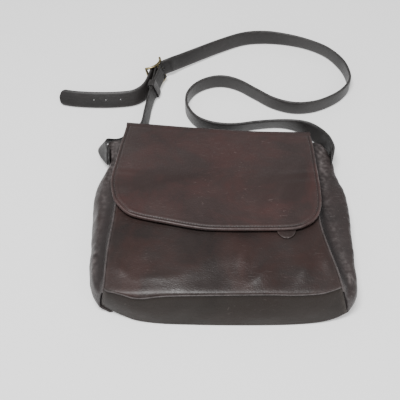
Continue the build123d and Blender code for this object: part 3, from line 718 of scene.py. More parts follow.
def gusset_wear_and_painted_light(obj, side):
    """Painted shade in the hollow beside the seam, a painted highlight along the crest beyond it and rubbed
    leather on the gusset's folds.
    """
    rub_and_highlight, shade = [], []
    for vertex in obj.data.vertices:
        x, y, z = vertex.co / MM
        seam = LEFT_SEAM(y) if side < 0 else RIGHT_SEAM(y)
        away = abs(x) - abs(seam)
        hem = bump(y, 98.5, 0.7) * ease(10, 20, z) if side < 0 else 0.0
        # painted shade in the hollow beside the seam, stronger on the right gusset
        hollow = bump(away, 5.5, 7.0) * ease(-112, -90, y) * (1.0 if side > 0 else 0.5)
        # painted highlight along the crest beyond the hollow, strongest near the lower end; it is added to
        # the rubbed wear
        crest_highlight = bump(away, 15, 5) * ease(8, 22, z) * (0.35 + 0.5 * ease(-40, -80, y) * ease(-104, -90, y))
        worn = ease(20, 70, y) * bump(away, 13, 9) * ease(8, 22, z)
        worn = (worn + crest_highlight) * (0.45 + 1.2 * wave(x, y, z, 4.0, 31.0))
        rub_and_highlight.append(min(max(worn + hem, 0.0), 1.0))
        shade.append(0.85 * hollow)
    store(obj, "rub_and_highlight", rub_and_highlight)
    store(obj, "shade", shade)


FRONT_ROWS, FRONT_COLUMNS = 101, 120
FRONT_EDGES = (0.008, 0.006)


def build_front():
    front = grid("front_panel_skin", FRONT_ROWS, FRONT_COLUMNS, front_point)
    mark_edges(front, FRONT_ROWS, FRONT_COLUMNS, *FRONT_EDGES)
    cut_slot(front)
    thicken(front, LEATHER)
    apply_modifiers(front)
    soft_part(front, FRONT, "front_panel", "body")


def build_body():
    build_front()
    panel("base_panel_skin", 26, 120, base_point, "base_panel", BASE, flip=True)
    for side, word, point in ((-1, "left", left_gusset_point), (1, "right", right_gusset_point)):
        gusset = panel(word + "_gusset_skin", 150, 61, point, word + "_gusset", SIDES,
                       flip=side < 0)
        gusset_wear_and_painted_light(gusset, side)
    panel("back_panel_skin", 100, 80, back_point, "back_panel", FLAP, flip=True)


def hem_point(u, v):
    """Turned hem over the front panel's upper edge."""
    x, y, z = front_point(mix(0.02, 0.98, u), 1.0)
    section = HEM_SECTION(v)
    return (x, y + section.x, z + section.y)


HEM_SECTION = Path([(-7.0, 0.2, 0), (-4.0, 0.5, 0), (-0.5, 0.5, 0), (1.2, -0.2, 0), (1.5, -1.3, 0),
                    (0.6, -2.2, 0), (-4.0, -2.0, 0)])
LINING_FRONT = Curve([(-112, 38.5), (-80, 41.6), (20, 40.6), (53, 34), (81, 27), (103, 21.0)])


LINING_LEFT, LINING_RIGHT = -103.0, 95.0
LINING_MOUTH_Y, LINING_BASE_Y, LINING_BACK_Z = 103.0, -110.0, 3.2
WALL_SHARE = 0.45        # of the pouch's round, for its front wall and for its back


def lining_point(u, v):
    """Cloth pouch: u across the bag, v down the front wall, over the base and up the back."""
    x = mix(LINING_LEFT, LINING_RIGHT, u)
    if v < WALL_SHARE:
        y = mix(LINING_MOUTH_Y, LINING_BASE_Y, v / WALL_SHARE)
        z = LINING_FRONT(y)
    elif v < 1 - WALL_SHARE:
        turn = math.pi * (v - WALL_SHARE) / (1 - 2 * WALL_SHARE)
        y = LINING_BASE_Y - 2.0 * math.sin(turn)
        z = mix(LINING_FRONT(LINING_BASE_Y), LINING_BACK_Z, 0.5 - 0.5 * math.cos(turn))
    else:
        y = mix(LINING_BASE_Y, LINING_MOUTH_Y, (v - 1 + WALL_SHARE) / WALL_SHARE)
        z = LINING_BACK_Z
    middle = 0.5 * (LINING_FRONT(y) + LINING_BACK_Z)
    pinch = (1 - abs(2 * u - 1) ** 8) ** 0.5
    z = middle + (z - middle) * max(pinch, 0.03)
    z += 0.5 * wave(x, y, z, 24.0, 8.0) * pinch
    return (x, y, max(z, 2.6))


POCKET_MIDDLE_Z = 44.1


def pocket_point(u, v):
    """Pocket: from the zip's lower tape down, round its foot and up to the upper tape."""
    x = mix(ZIP_LEFT - 5.6, ZIP_RIGHT + 3.6, u)
    pinch = (1 - abs(2 * u - 1) ** 12) ** 0.5
    spot = POCKET_SECTION(v)
    z = POCKET_MIDDLE_Z + (spot.y - POCKET_MIDDLE_Z) * max(pinch, 0.05)
    return (x, spot.x, z + 0.1 * wave(x, spot.x, 0, 14.0, 5.0))


POCKET_SECTION = Path([(-31.4, 45.4, 0), (-45, 45.1, 0), (-70, 45.0, 0), (-85, 44.8, 0), (-87.4, 44.0, 0),
                       (-85, 43.1, 0), (-60, 42.9, 0), (-30, 42.9, 0), (-19.6, 43.2, 0),
                       (-18.6, 44.2, 0), (-20.6, 45.3, 0), (-22.6, 45.4, 0)])
TAPE_INNER, TAPE_OUTER = 1.8, 6.2


CLOTH = 0.5
POCKET_CLOTH = 0.3


def tape_strip(side):
    """One woven tape beside the teeth, slightly wavy."""
    def point(u, v):
        x = mix(ZIP_LEFT - 2, ZIP_RIGHT + 2, u)
        y = ZIP_Y + side * mix(TAPE_INNER, TAPE_OUTER, v)
        return (x, y, PANEL_Z_AT_ZIP - 2.0 + 0.12 * wave(x, y, 0, 9.0, 2.0))
    return sheet("tape", 6, 140, point, CLOTH, flip=side < 0)


HEM_LEATHER = 0.9
HEM_STITCHES = 160
FLAP_UP = Vector((0, 0.25, 1)).normalized()     # leans with the slope of the leather near the mouth


def build_hem():
    hem = sheet("mouth_hem_leather", 14, 120, hem_point, HEM_LEATHER)
    mark(hem, rub_and_highlight=0.2)
    soft_part(hem, FRONT, "mouth_hem", "body")
    places = []
    for i in range(HEM_STITCHES):
        x, y, z = front_point(mix(0.025, 0.975, i / (HEM_STITCHES - 1)), 1.0)
        places.append((Vector((x, y - 5.2, z + 1.3)), FLAP_UP))
    stitches("mouth_stitches", places, "body", pitch=3.0, gap=1.0)


def build_inside():
    build_hem()
    pouch = sheet("lining_cloth_pouch", 120, 60, lining_point, CLOTH)
    soft_part(pouch, LINING, "lining", "body")
    pocket = sheet("pocket_cloth_bag", 60, 80, pocket_point, POCKET_CLOTH)
    soft_part(pocket, LINING, "pocket_bag", "body")
    tapes = join_meshes("zip_tape_cloth", [tape_strip(1), tape_strip(-1)])
    soft_part(tapes, TAPE, "zip_tapes", "body")


TAB_X = 65.0
TAB_HALF_W = 9.6
TAB_TOP_Y, TAB_LOW_Y = -34.0, -51.0


def tab_point(u, v):
    """Leather pull tab: v from its upper edge to the tip of its half-round end."""
    y = mix(TAB_TOP_Y, TAB_LOW_Y, v ** 0.8)
    beyond = max(0.0, TAB_LOW_Y + TAB_HALF_W - y) / TAB_HALF_W
    half = TAB_HALF_W * math.sqrt(max(0.0, 1 - beyond * beyond))
    across = 2 * u - 1
    edge = 1 - abs(across) ** 6 * 0.6 - ease(0.8, 1.0, beyond) * 0.4
    return (TAB_X + across * max(half, 0.05), y, 52.7 + 0.3 * edge)


TAB_ROWS, TAB_COLUMNS = 30, 24
TAB_STITCH_R = 7.5
TAB_STITCH_Y, TAB_STITCH_Z = -41.6, 52.98


def tab_seam():
    """Stitch places: down the left side of the tab, round its end and up the right."""
    places = []
    for i in range(25):
        places.append(Vector(tab_point(0.11, mix(0.05, 0.72, i / 24))) + Vector((0, 0, 0.05)))
    for i in range(10):
        angle = math.pi * (i + 0.5) / 10
        x = TAB_X - TAB_STITCH_R * math.cos(angle)
        places.append(Vector((x, TAB_STITCH_Y - TAB_STITCH_R * math.sin(angle), TAB_STITCH_Z)))
    for i in range(25):
        places.append(Vector(tab_point(0.89, mix(0.05, 0.72, 1 - i / 24))) + Vector((0, 0, 0.05)))
    return [(place, Vector((0, 0, 1))) for place in places]


def build_tab():
    tab = grid("pull_tab_leather", TAB_ROWS, TAB_COLUMNS, tab_point)
    rub_and_highlight = []
    for row in range(TAB_ROWS):
        for column in range(TAB_COLUMNS):
            u, v = column / (TAB_COLUMNS - 1), row / (TAB_ROWS - 1)
            rub_and_highlight.append(0.55 * max(bump(u, 0, 0.05), bump(u, 1, 0.05), bump(v, 1, 0.05)))
    mark(tab)
    store(tab, "rub_and_highlight", rub_and_highlight)
    thicken(tab, 1.1)
    apply_modifiers(tab)
    soft_part(tab, FRONT, "pull_tab", "pull")
    stitches("tab_stitches", tab_seam(), "pull", pitch=2.4, gap=0.9)


def seam_points(curve, low, high, count):
    """Points along a side seam."""
    points = []
    for i in range(count):
        y = mix(low, high, i / (count - 1))
        points.append((curve(y), y, FRONT_CURVE(y) - 0.9))
    return points


PIPING_R, BASE_PIPING_R = 1.0, 0.65
PIPING_POINTS, BASE_PIPING_POINTS = 90, 100


def build_piping():
    low = []
    for i in range(BASE_PIPING_POINTS):
        x, y, z = front_point(i / (BASE_PIPING_POINTS - 1), 0.0)
        low.append((x, y - 0.2, z - 0.1))
    seams = [("left", seam_points(LEFT_SEAM, -112.5, TOP_Y, PIPING_POINTS), PIPING_R),
             ("right", seam_points(RIGHT_SEAM, -111.5, TOP_Y, PIPING_POINTS), PIPING_R),
             ("base", low, BASE_PIPING_R)]
    for word, points, radius in seams:
        piping = cord(word + "_piping_cord", points, radius)
        mark(piping, rub_and_highlight=0.45)
        soft_part(piping, SIDES, word + "_piping", "body")


# ---- flap ---------------------------------------------------------------------------
FOLD_Y = 121.2
FOLD_SKEW = math.radians(3.6)
# Height of the flap's outer face over the distance from the fold line.
FLAP_TOP = Curve([(-60, 56.8), (-30, 57.4), (0, 57.8), (25, 56.6), (53, 48.8), (81, 40.4), (107, 32.2),
                  (113.5, 30.0)])
FOLD_PATH = Path([(0.0, 113.5, 30.0), (0.0, 118.4, 29.0), (0.0, 122.0, 26.6), (0.0, 123.0, 23.0),
                  (0.0, 122.6, 18.0), (0.0, 122.4, 13.5)])
# Borders of the flap in plan: lower edge from left to right, then each side going up.
FLAP_LOWER = Path([(-108.3, -12.9, 0), (-99.5, -22.0, 0), (-88, -27.4, 0), (-57.4, -35.0, 0),
                   (-23.5, -42.2, 0), (-4, -43.8, 0), (16, -44.2, 0), (45, -43.9, 0), (68, -43.2, 0),
                   (80, -40.8, 0), (89.8, -35.6, 0), (94.5, -31.6, 0)])
FLAP_LEFT = Path([(-108.3, -12.9, 0), (-113.6, -4.4, 0), (-117.0, 9.0, 0), (-118.2, 24.0, 0),
                  (-115.8, 50.0, 0), (-113.4, 82.8, 0), (-110.6, 106.3, 0), (-109.4, 120.4, 0)])
FLAP_RIGHT = Path([(94.5, -31.6, 0), (99.3, -25.0, 0), (103.0, -14.0, 0), (104.4, 2.0, 0),
                   (104.8, 40.0, 0), (106.0, 81.2, 0), (105.4, 107.0, 0)])
FLAP_FRONT_SHARE = 0.93
# How far the real fold bows away from its straight hinge line.
FOLD_BOW = Curve([(-112, 3.4), (-60, 1.2), (-26, -0.2), (29, -1.4), (70, -0.4), (106, 1.4)])


def fold_key(x, y):
    """Distance up the flap measured square to its skewed fold line."""
    return FOLD_Y + (y - FOLD_Y) * math.cos(FOLD_SKEW) + x * math.sin(FOLD_SKEW)


def flap_waves(x, y):
    """Gentle waves and creases of the flap's leather."""
    key = fold_key(x, y)
    calm = ease(112, 92, key)
    height = 0.8 * wave(x, y, 0, 70, 15.0) * calm
    height += 0.35 * wave(x, y, 0, 26, 19.0) * calm
    # crease from the left edge, where the flap bends over the filled part of the bag
    height -= 1.1 * ridge(x, y, -106, 27, -5, 20, 4.5)
    height += 0.6 * ridge(x, y, -104, 36, -4, 18, 6.0)
    height += 0.8 * ridge(x, y, -106, 12, -14, 14, 7.0)
    height -= 0.5 * ridge(x, y, 84, 24, 8, 26, 5.0)
    height += 0.5 * ridge(x, y, 84, 33, 8, 26, 5.0)
    # the lower corners lift a little
    height += 1.0 * bump(x, -112, 22) * bump(y, -6, 26)
    height += 0.6 * bump(x, 100, 16) * bump(y, -20, 24)
    return height


def flap_surface(x, y):
    """Point of the flap's outer face over a place in plan, in front of the fold."""
    return Vector((x, y, FLAP_TOP(fold_key(x, y)) + flap_waves(x, y)))


def bowed_surface(x, y):
    """The same, moved with the bow of the real fold."""
    face = flap_surface(x, y)
    face.y += FOLD_BOW(x) * ease(70, 112, fold_key(x, y))
    return face


def flap_plan(u, v):
    """Place in plan: u from left to right, v from the lower edge to the fold."""
    lower, left, right = FLAP_LOWER(u), FLAP_LEFT(v), FLAP_RIGHT(v)
    upper = FLAP_LEFT(1.0).lerp(FLAP_RIGHT(1.0), u)
    sides = left.lerp(right, u)
    ends = lower.lerp(upper, v)
    corners = FLAP_LEFT(0.0).lerp(FLAP_RIGHT(0.0), u).lerp(upper, v)
    return sides + ends - corners


def flap_point(u, v):
    """Flap: v runs from the lower edge over the front and round the fold."""
    if v <= FLAP_FRONT_SHARE:
        place = flap_plan(u, v / FLAP_FRONT_SHARE)
        spot = bowed_surface(place.x, place.y)
        # the skin dips under the turned edge strip
        near = min(u, 1 - u, v * 0.8)
        spot.z -= 0.9 * ease(0.036, 0.018, near)
        return spot
    place = flap_plan(u, 1.0)
    turn = FOLD_PATH((v - FLAP_FRONT_SHARE) / (1 - FLAP_FRONT_SHARE))
    bow = FOLD_BOW(place.x) * ease(13.5, 25, turn.z)
    return Vector((place.x, turn.y - place.x * math.sin(FOLD_SKEW) + bow, turn.z))


def flap_border():
    """Evenly spaced border points from the fold down the left, along and up the right."""
    outline = [FLAP_LEFT(1 - i / 90) for i in range(90)]
    outline += [FLAP_LOWER(i / 110) for i in range(110)]
    outline += [FLAP_RIGHT(i / 90) for i in range(91)]
    outline = Path([tuple(p) for p in outline], 1)
    count = int(outline.length / 1.3)
    places = [outline(i / count) for i in range(count + 1)]
    frames = []
    for i, place in enumerate(places):
        travel = (places[min(i + 3, count)] - places[max(i - 3, 0)]).normalized()
        frames.append((place, Vector((-travel.y, travel.x, 0))))
    return frames


# Section of the turned edge: (distance in from the border, height over the face, rub with a painted
# highlight on the roll and the stitch ridge).
TURNED_EDGE = [(2.6, -1.9, 0), (1.4, -1.9, 0), (0.6, -1.5, 0.2), (0.3, -0.8, 0.5), (0.6, 0.0, 0.9),
               (1.3, 0.4, 0.9), (2.1, 0.3, 0.4), (2.8, -0.1, 0.1), (3.4, -0.35, 0.0), (4.0, -0.2, 0.0),
               (4.7, 0.1, 0.15), (5.6, 0.22, 0.25), (6.6, 0.18, 0.1), (7.8, 0.05, 0.0), (9.4, -0.15, 0.0)]
STITCH_INSET = 4.2
EDGE_GROOVE = 3.4
FLAP_LEATHER, FLAP_BACKING = 1.7, 0.4


def build_flap_skin():
    skin = sheet("flap_skin", 150, 130, flap_point, FLAP_LEATHER)
    mark(skin)
    soft_part(skin, FLAP, "flap_leather")
    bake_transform(skin)


def build_flap_edge():
    """Turned and stitched edge round the flap."""
    points, rub_and_highlight, shade, stitch_places = [], [], [], []
    for place, inward in flap_border():
        for inset, height, worn in TURNED_EDGE:
            spot = place + inward * inset
            points.append(bowed_surface(spot.x, spot.y) + Vector((0, 0.25 * height, height)))
            # rub with a painted highlight on the roll and the stitch ridge, stronger towards the lower edge
            worn *= (0.35 + 0.35 * wave(spot.x, spot.y, 0, 12, 4.0)) * (0.5 + 0.5 * ease(60, -20, spot.y))
            rub_and_highlight.append(min(max(worn, 0.0), 1.0))
            # painted shade in the groove inside the roll
            shade.append(0.6 * bump(inset, EDGE_GROOVE, 0.7))
        spot = place + inward * STITCH_INSET
        stitch_places.append((bowed_surface(spot.x, spot.y) - Vector((0, 0, 0.1)), FLAP_UP))
    faces = grid_faces(len(stitch_places), len(TURNED_EDGE), closed=True)
    edge = mesh_from("flap_turned_edge", points, faces)
    store(edge, "rub_and_highlight", rub_and_highlight)
    store(edge, "shade", shade)
    soft_part(edge, FLAP, "flap_edge_binding", "flap")
    stitches("flap_stitches", stitch_places, "flap", pitch=2.9, gap=1.0)


def backing_point(u, v):
    """Backing under the flap, a little inside its border."""
    place = flap_plan(mix(0.02, 0.98, u), mix(0.03, 0.9, v))
    return flap_surface(place.x, place.y) - Vector((0, 0, 2.1))


def build_flap():
    build_flap_skin()
    build_flap_edge()
    backing = sheet("flap_backing", 60, 60, backing_point, FLAP_BACKING, flip=True, offset=1.0)
    soft_part(backing, SUEDE, "flap_lining", "flap")


STITCH_SIDES = 6
# Each stitch is three rings: which of its three spots, radius and height over the leather.
STITCH_RINGS = ((0, 0.16, -0.1), (1, 0.34, 0.22), (2, 0.16, -0.1))


def stitches(name, places, body, pitch, gap):
    """Row of raised stitches over places given as (point, upward direction)."""
    points = [point for point, _ in places]
    reach = [0.0]
    for a, b in zip(points, points[1:]):
        reach.append(reach[-1] + (b - a).length)
    verts, faces = [], []
    index = 0
    for k in range(int(reach[-1] / pitch)):
        start = k * pitch + gap / 2
        end = (k + 1) * pitch - gap / 2
        spots = []
        for t in (start, (start + end) / 2, end):
            while index < len(reach) - 2 and reach[index + 1] < t:
                index += 1
            share = (t - reach[index]) / max(reach[index + 1] - reach[index], TINY)
            spots.append(points[index].lerp(points[index + 1], share))
        up = places[index][1]
        side = (spots[2] - spots[0]).normalized().cross(up).normalized()
        base = len(verts)
        for which, size, lift in STITCH_RINGS:
            for c, s in circle(STITCH_SIDES):
                verts.append(spots[which] + up * lift + side * c * size + up * s * size)
        for face in bar_faces(len(STITCH_RINGS), STITCH_SIDES):
            faces.append(tuple(base + corner for corner in face))
    obj = mesh_from(name, verts, faces)
    dress(obj, THREAD)
    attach(obj, body)


# ---- strap --------------------------------------------------------------------------
# Strap paths as (x, y, z, lean in degrees), from the sewn ends towards the buckle.
LONG_PATH = [
    (127.2, 77.0, 25.6, 0), (129.2, 85.0, 24.4, -2), (129.0, 94.0, 22.0, -6),
    (125.8, 107.5, 17.8, -16), (118.2, 122.0, 13.6, -28), (107.6, 133.6, 11.6, -22),
    (92.0, 142.0, 10.6, 2), (71.5, 145.2, 10.2, 15), (45.0, 142.8, 10.2, 14),
    (22.0, 138.2, 10.3, 9), (4.0, 137.4, 10.4, 4), (-14.0, 141.2, 10.4, 0),
    (-29.0, 151.0, 10.4, 0), (-38.8, 169.0, 10.4, 0), (-38.6, 188.0, 10.4, 0),
    (-28.0, 205.0, 10.4, 0), (-11.0, 215.2, 10.4, 0), (7.0, 217.4, 10.4, 0),
    (26.0, 210.6, 10.4, 0), (46.0, 195.6, 10.4, 0), (68.0, 179.4, 10.4, 0),
    (92.0, 171.4, 10.4, 0), (116.0, 173.2, 10.4, 0), (137.0, 182.4, 10.4, 0),
    (154.0, 195.4, 10.4, 0), (164.6, 212.0, 10.4, 0), (165.0, 230.0, 10.4, 0),
    (158.6, 250.0, 10.4, 0), (143.0, 271.0, 10.6, 6), (120.0, 286.0, 10.6, 8),
    (92.0, 296.0, 10.4, 2), (62.0, 300.4, 10.4, -8), (34.0, 297.0, 10.6, -10),
    (4.0, 282.6, 11.6, -12), (-28.0, 263.4, 13.0, -14), (-50.0, 249.4, 14.4, -16),
]
TONGUE_PATH = [
    (-84.9, 213.6, 14.2, -18), (-88.6, 203.6, 12.6, -22), (-95.0, 195.6, 10.9, -28),
    (-106.0, 189.6, 9.4, -34), (-122.0, 187.2, 8.9, -38), (-140.0, 186.4, 8.7, -40),
    (-160.0, 186.8, 8.7, -40), (-180.0, 188.6, 8.7, -40), (-198.0, 192.4, 8.7, -38),
]
SHORT_PATH = [
    (-128.6, 78.0, 24.6, -6), (-131.6, 86.0, 23.2, -20), (-135.4, 95.6, 20.8, -28),
    (-136.6, 105.6, 17.0, -32), (-132.6, 113.0, 13.4, -34), (-125.0, 117.0, 10.8, -36),
    (-118.0, 120.0, 9.6, -34), (-113.8, 124.4, 9.2, -22), (-111.8, 130.0, 9.2, -12),
    (-107.4, 134.0, 9.2, -8), (-100.0, 135.0, 9.3, -8), (-93.4, 138.4, 9.8, 0),
    (-89.6, 147.0, 10.4, 12), (-88.0, 159.0, 10.6, 14), (-85.8, 175.0, 11.6, 12), (-82.6, 190.0, 13.4, 14),
]
BUCKLE_AT = Vector((-74.0, 226.5, 16.3))
BUCKLE_HEADING = math.radians(51.0)
BUCKLE_LEAN = math.radians(18.0)
ALONG = Vector((math.cos(BUCKLE_HEADING), math.sin(BUCKLE_HEADING), 0))
SIDE = Vector((-math.sin(BUCKLE_HEADING), math.cos(BUCKLE_HEADING), 0))
BAR = SIDE * math.sin(BUCKLE_LEAN) + Vector((0, 0, 1)) * math.cos(BUCKLE_LEAN)
OUT = BAR.cross(ALONG).normalized()


STRAP_W, STRAP_T, SHORT_T = 20.0, 2.8, 2.0
FRAME_HALF = 13.0        # from the buckle's bar to its end rails
BAR_LIFT = 5.6           # of the long strap over the bar, which falls by STRAP_DROP at the rails
STRAP_DROP = 3.0


def stations_along(points, steps):
    """Centre, travel and width directions along a strap path of (x, y, z, lean)."""
    dense = smooth_points(points, steps)
    stations = []
    for i, (x, y, z, lean) in enumerate(dense):
        before, after = dense[max(i - 1, 0)], dense[min(i + 1, len(dense) - 1)]
        travel = Vector([after[k] - before[k] for k in range(3)]).normalized()
        left = Vector((-travel.y, travel.x, 0)).normalized()
        angle = math.radians(lean)
        width = Vector((0, 0, 1)) * math.cos(angle) + left * math.sin(angle)
        width = (width - travel * width.dot(travel)).normalized()
        stations.append((Vector((x, y, z)), travel, width))
    return stations


def refine(stations, steps):
    """More stations between the given ones, blended smoothly."""
    rows = [tuple(c) + tuple(w) for c, _, w in stations]
    dense = smooth_points(rows, steps)
    result = []
    for i, row in enumerate(dense):
        before, after = dense[max(i - 1, 0)], dense[min(i + 1, len(dense) - 1)]
        travel = Vector([after[k] - before[k] for k in range(3)]).normalized()
        width = Vector(row[3:6])
        width = (width - travel * width.dot(travel)).normalized()
        result.append((Vector(row[0:3]), travel, width))
    return result


def strap_section(width, thickness):
    """Rounded, slightly crowned section as (across, out, edge) values."""
    half_w, half_t = width / 2, thickness / 2
    corner = min(0.95, half_t * 0.8)
    section = []
    for side in (1, -1):
        for i in range(8):
            a = mix(-half_w + corner, half_w - corner, i / 7) * side
            crown = 0.28 * (1 - (a / half_w) ** 2)
            groove = -0.22 * bump(abs(a), half_w - 2.2, 0.45)
            section.append((a, (half_t + crown + groove) * side, bump(abs(a), half_w, 1.2)))
        for wide, high in ((0.985, 0.62), (1.0, 0.0), (0.985, -0.62)):
            section.append((half_w * side * wide, half_t * side * high, 1.0))
    return section


def strap_mesh(name, stations, thickness, taper=None, shade=0.0):
    """Strap with a rounded section swept along its stations."""
    section = strap_section(STRAP_W, thickness)
    points, rub_and_highlight = [], []
    for i, (centre, travel, across) in enumerate(stations):
        normal = travel.cross(across).normalized()
        scale = taper(i, len(stations)) if taper else 1.0
        for a, b, edge in section:
            points.append(centre + across * (a * scale) + normal * b)
            # lighter edges: rubbed wear with a painted highlight line along each edge
            rub_and_highlight.append(0.65 * edge)
    obj = mesh_from(name, points, bar_faces(len(stations), len(section)))
    mark(obj, shade=shade)
    store(obj, "rub_and_highlight", rub_and_highlight)
    return obj


def long_strap_stations():
    """Stations of the long strap: its loops, the pass over the buckle's bar and the free end."""
    over_bar = []
    for v in (20, 14, 8, 2, -4, -10):
        lift = BAR_LIFT - STRAP_DROP * (v / FRAME_HALF) ** 2
        travel = (ALONG * -1 + OUT * (2 * STRAP_DROP * v / FRAME_HALF ** 2)).normalized()
        over_bar.append((BUCKLE_AT + ALONG * v + OUT * lift, travel, BAR))
    return refine(stations_along(LONG_PATH, 1) + over_bar + stations_along(TONGUE_PATH, 1), 10)


# Directions of the doubled end of the short strap, which runs from its foot to the bar.
FOOT = Vector(SHORT_PATH[-1][:3])
TOWARD = (BUCKLE_AT - FOOT).normalized()
ACROSS = (BAR - TOWARD * BAR.dot(TOWARD)).normalized()
OUTWARD = ACROSS.cross(TOWARD).normalized()
LAYER_GAP = 1.3          # half the distance between the two layers
WRAP_R = 3.0


def short_strap_stations():
    """Stations of the short strap: up to the bar, round it and back on itself."""
    stations = stations_along(SHORT_PATH, 1)
    for run in (6.0, 14.0, 22.0):
        stations.append((FOOT + TOWARD * run - OUTWARD * LAYER_GAP, TOWARD, ACROSS))
    level = (TOWARD - BAR * BAR.dot(TOWARD)).normalized()
    rise = BAR.cross(level).normalized()
    for step in range(9):
        angle = math.radians(-90 + 22.5 * step)
        spot = BUCKLE_AT + level * (WRAP_R * math.cos(angle)) + rise * (WRAP_R * math.sin(angle))
        stations.append((spot, TOWARD, BAR))
    for run in (22.0, 14.0, 5.0):
        stations.append((FOOT + TOWARD * run + OUTWARD * LAYER_GAP, TOWARD * -1, ACROSS))
    return refine(stations, 5)


STATION_PITCH = 1.95     # about the distance between the last stations of the free end


def rounded_end(i, count):
    """Width share that rounds off the last centimetre of the free end."""
    half_w = STRAP_W / 2
    left = (count - 1 - i) * STATION_PITCH
    if left >= half_w:
        return 1.0
    return max(0.12, math.sqrt(max(0.0, 1 - ((half_w - left) / half_w) ** 2)))


FIRST_HOLE, LAST_HOLE, HOLE_STEP, HOLE_R = 50.0, 84.0, 16.0, 0.75


SLOT_R, SLOT_STRETCH = 1.7, 3.5
CUTTER_SIDES, CUTTER_LENGTH = 20, 12.0


def cutter(name, centre, axis, radius, along, stretch=0.0):
    """Closed bar used to punch a hole or a slot through the strap."""
    half = axis.normalized() * (CUTTER_LENGTH / 2)
    u = along.normalized()
    v = axis.cross(u).normalized()
    points = []
    for end in (-1, 1):
        for c, s in circle(CUTTER_SIDES):
            across = c * radius + (stretch if c > 0 else -stretch)
            points.append(centre + half * end + u * across + v * s * radius)
    return mesh_from(name, points, bar_faces(2, CUTTER_SIDES))


def punch(obj):
    """Prong slot and adjusting holes of the long strap."""
    slot_centre = BUCKLE_AT + ALONG * 6.0 + OUT * 4.6
    bars = [cutter("slot", slot_centre, OUT, SLOT_R, ALONG, SLOT_STRETCH)]
    tongue = stations_along(TONGUE_PATH, 8)
    run, next_hole = 0.0, FIRST_HOLE
    for before, here in zip(tongue, tongue[1:]):
        run += (here[0] - before[0]).length
        if run >= next_hole and next_hole < LAST_HOLE:
            axis = here[1].cross(here[2])
            bars.append(cutter("hole", here[0], axis, HOLE_R, axis.orthogonal()))
            next_hole += HOLE_STEP
    for bar in bars:
        modifier = obj.modifiers.new("Punch", "BOOLEAN")
        modifier.operation = "DIFFERENCE"
        modifier.solver = "EXACT"
        modifier.object = bar
    apply_modifiers(obj)
    for bar in bars:
        bpy.data.objects.remove(bar)


KEEPER_HALF_W, KEEPER_HALF_H, KEEPER_CORNER = 11.6, 4.1, 1.8
KEEPER_RUN = 11.0        # from the foot of the doubled end to the keeper's middle
# Section of the keeper's band: (along the strap, out from the ring).
KEEPER_BAND = [(-5.0, -0.5), (-4.7, 0.35), (0, 0.55), (4.7, 0.35), (5.0, -0.5), (4.6, -0.75), (-4.6, -0.75)]


def keeper_ring():
    """Rounded rectangle that the keeper's band follows."""
    ring = []
    for cx, cy, start in ((1, 1, 0), (-1, 1, 90), (-1, -1, 180), (1, -1, 270)):
        for k in range(6):
            angle = math.radians(start + 90 * k / 5)
            x = cx * (KEEPER_HALF_W - KEEPER_CORNER) + KEEPER_CORNER * math.cos(angle)
            y = cy * (KEEPER_HALF_H - KEEPER_CORNER) + KEEPER_CORNER * math.sin(angle)
            ring.append((x, y))
    return ring


def build_keeper():
    """Closed leather band round the doubled end of the short strap."""
    centre = FOOT + TOWARD * KEEPER_RUN
    points = []
    for x, y in keeper_ring():
        away = Vector((x, y, 0)).normalized()
        for along, thick in KEEPER_BAND:
            spot = centre + ACROSS * (x + away.x * thick) + OUTWARD * (y + away.y * thick)
            points.append(spot + TOWARD * along)
    rows, columns = len(points) // len(KEEPER_BAND), len(KEEPER_BAND)
    open_faces = grid_faces(rows + 1, columns, closed=True)
    faces = [tuple(corner % len(points) for corner in face) for face in open_faces]
    keeper = mesh_from("keeper_leather", points, faces)
    keeper.modifiers.new("Smooth", "SUBSURF").levels = 1
    apply_modifiers(keeper)
    mark(keeper, rub_and_highlight=0.3)
    soft_part(keeper, STRAP, "keeper_loop", "keeper")


def build_strap():
    long_strap = strap_mesh("long_strap_leather", long_strap_stations(), STRAP_T, taper=rounded_end)
    punch(long_strap)
    # painted shade all over darkens the short strap
    short_strap = strap_mesh("short_strap_leather", short_strap_stations(), SHORT_T, shade=0.3)
    for obj, node in ((long_strap, "long_strap"), (short_strap, "short_strap")):
        soft_part(obj, STRAP, node)
        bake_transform(obj)
    build_keeper()


PATCH_X, PATCH_Y, PATCH_Z = 126.0, 79.0, 25.0
PATCH_HALF = 10.5
PATCH_LEATHER = 1.4
PATCH_EDGES = (0.06, 0.06)


def build_root_patch(side, node):
    """Rounded leather patch between the gusset and the end of the strap."""
    def point(u, v):
        a, b = 2 * u - 1, 2 * v - 1
        # a square spread over a rounded square
        round_a = a * math.sqrt(1 - 0.28 * b ** 4)
        round_b = b * math.sqrt(1 - 0.28 * a ** 4)
        swell = 0.5 * (1 - max(abs(a), abs(b)) ** 6)
        x = side * (PATCH_X + PATCH_LEATHER * (round_a + 1) / 2 + swell)
        return (x, PATCH_Y + PATCH_HALF * round_a, PATCH_Z + PATCH_HALF * round_b)
    patch = sheet(node + "_leather", 24, 24, point, PATCH_LEATHER, side < 0, PATCH_EDGES)
    soft_part(patch, STRAP, node, "body")


# ---- carried-over hard parts --------------------------------------------------------
HARD = {
    "buckle_frame": BRASS, "buckle_prong": BRASS, "zip_slider": ZIP_METAL, "zip_teeth": ZIP_METAL,
    "zip_stops": ZIP_METAL, "pull_link": ZIP_METAL, "snap_socket": ZIP_METAL,
    "snap_socket_washer": ZIP_METAL, "snap_stud": ZIP_METAL, "base_board": BOARD,
}


def dress_hard_parts():
    for node, material in HARD.items():
        dress(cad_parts[node], material)


# ---- stage --------------------------------------------------------------------------
FLOOR_HALF = 4.0
FLOOR_DROP = 0.0004
WHITE = (1.0, 1.0, 1.0, 1.0)


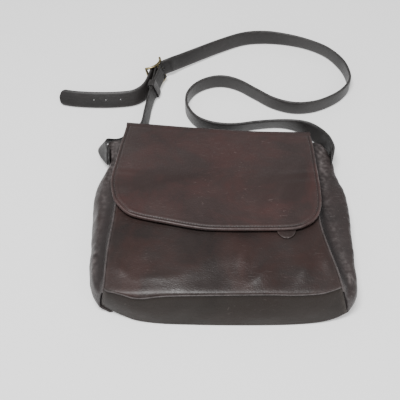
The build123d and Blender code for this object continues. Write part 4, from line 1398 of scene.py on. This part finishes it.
def build_stage():
    mesh = bpy.data.meshes.new("floor")
    corners = [(-FLOOR_HALF, -FLOOR_HALF, 0), (FLOOR_HALF, -FLOOR_HALF, 0),
               (FLOOR_HALF, FLOOR_HALF, 0), (-FLOOR_HALF, FLOOR_HALF, 0)]
    mesh.from_pydata(corners, [], [(0, 1, 2, 3)])
    floor = bpy.data.objects.new("floor", mesh)
    bpy.context.scene.collection.objects.link(floor)
    floor.location.z = CAD_BOX[0][2] - FLOOR_DROP
    n = Nodes("floor_paint")
    paint = n.blend(n.noise(3.0, 2.0, 0.5), (0.9, 0.9, 0.9), (0.92, 0.92, 0.92))
    mesh.materials.append(n.surface({"Base Color": paint, "Roughness": 0.9, "Emission Color": WHITE,
                                     "Emission Strength": 0.45}))


# Area lights in metres and watts, all aimed at the bag: name, place, size, power.
LIGHTS = [("overhead", (-0.2, -0.34, 1.38), (0.42, 0.36), 24), ("front", (0.5, -1.0, 0.9), (0.9, 0.6), 2.5)]
SKY = 0.42


def build_lights():
    world = bpy.data.worlds.new("studio")
    bpy.context.scene.world = world
    world.use_nodes = True
    sky = world.node_tree.nodes["Background"].inputs
    sky["Color"].default_value = WHITE
    sky["Strength"].default_value = SKY
    for name, place, size, power in LIGHTS:
        light = bpy.data.lights.new(name, "AREA")
        light.shape = "RECTANGLE"
        light.size, light.size_y = size
        light.energy = power
        obj = bpy.data.objects.new(name, light)
        bpy.context.scene.collection.objects.link(obj)
        obj.location = place
        obj.rotation_euler = (-Vector(place)).to_track_quat("-Z", "Y").to_euler()


CAMERA_TARGET = Vector((-23.0, 22.0, 20.0)) * MM
CAMERA_DISTANCE = 0.85
ELEVATION = math.radians(53.0)
LENS, SENSOR = 69.3, 36.0


def build_camera():
    """The viewpoint: in front of the base and 53 degrees above the floor."""
    camera = bpy.data.cameras.new("camera")
    camera.sensor_width = SENSOR
    camera.lens = LENS
    obj = bpy.data.objects.new("camera", camera)
    bpy.context.scene.collection.objects.link(obj)
    toward_viewer = Vector((0, -math.cos(ELEVATION), math.sin(ELEVATION)))
    obj.location = CAMERA_TARGET + toward_viewer * CAMERA_DISTANCE
    obj.rotation_euler = (math.radians(90) - ELEVATION, 0, 0)
    bpy.context.scene.camera = obj


build_body()
build_piping()
build_inside()
build_tab()
build_flap()
build_strap()
build_root_patch(-1, "left_root_patch")
build_root_patch(1, "right_root_patch")
dress_hard_parts()
build_stage()
build_lights()
build_camera()
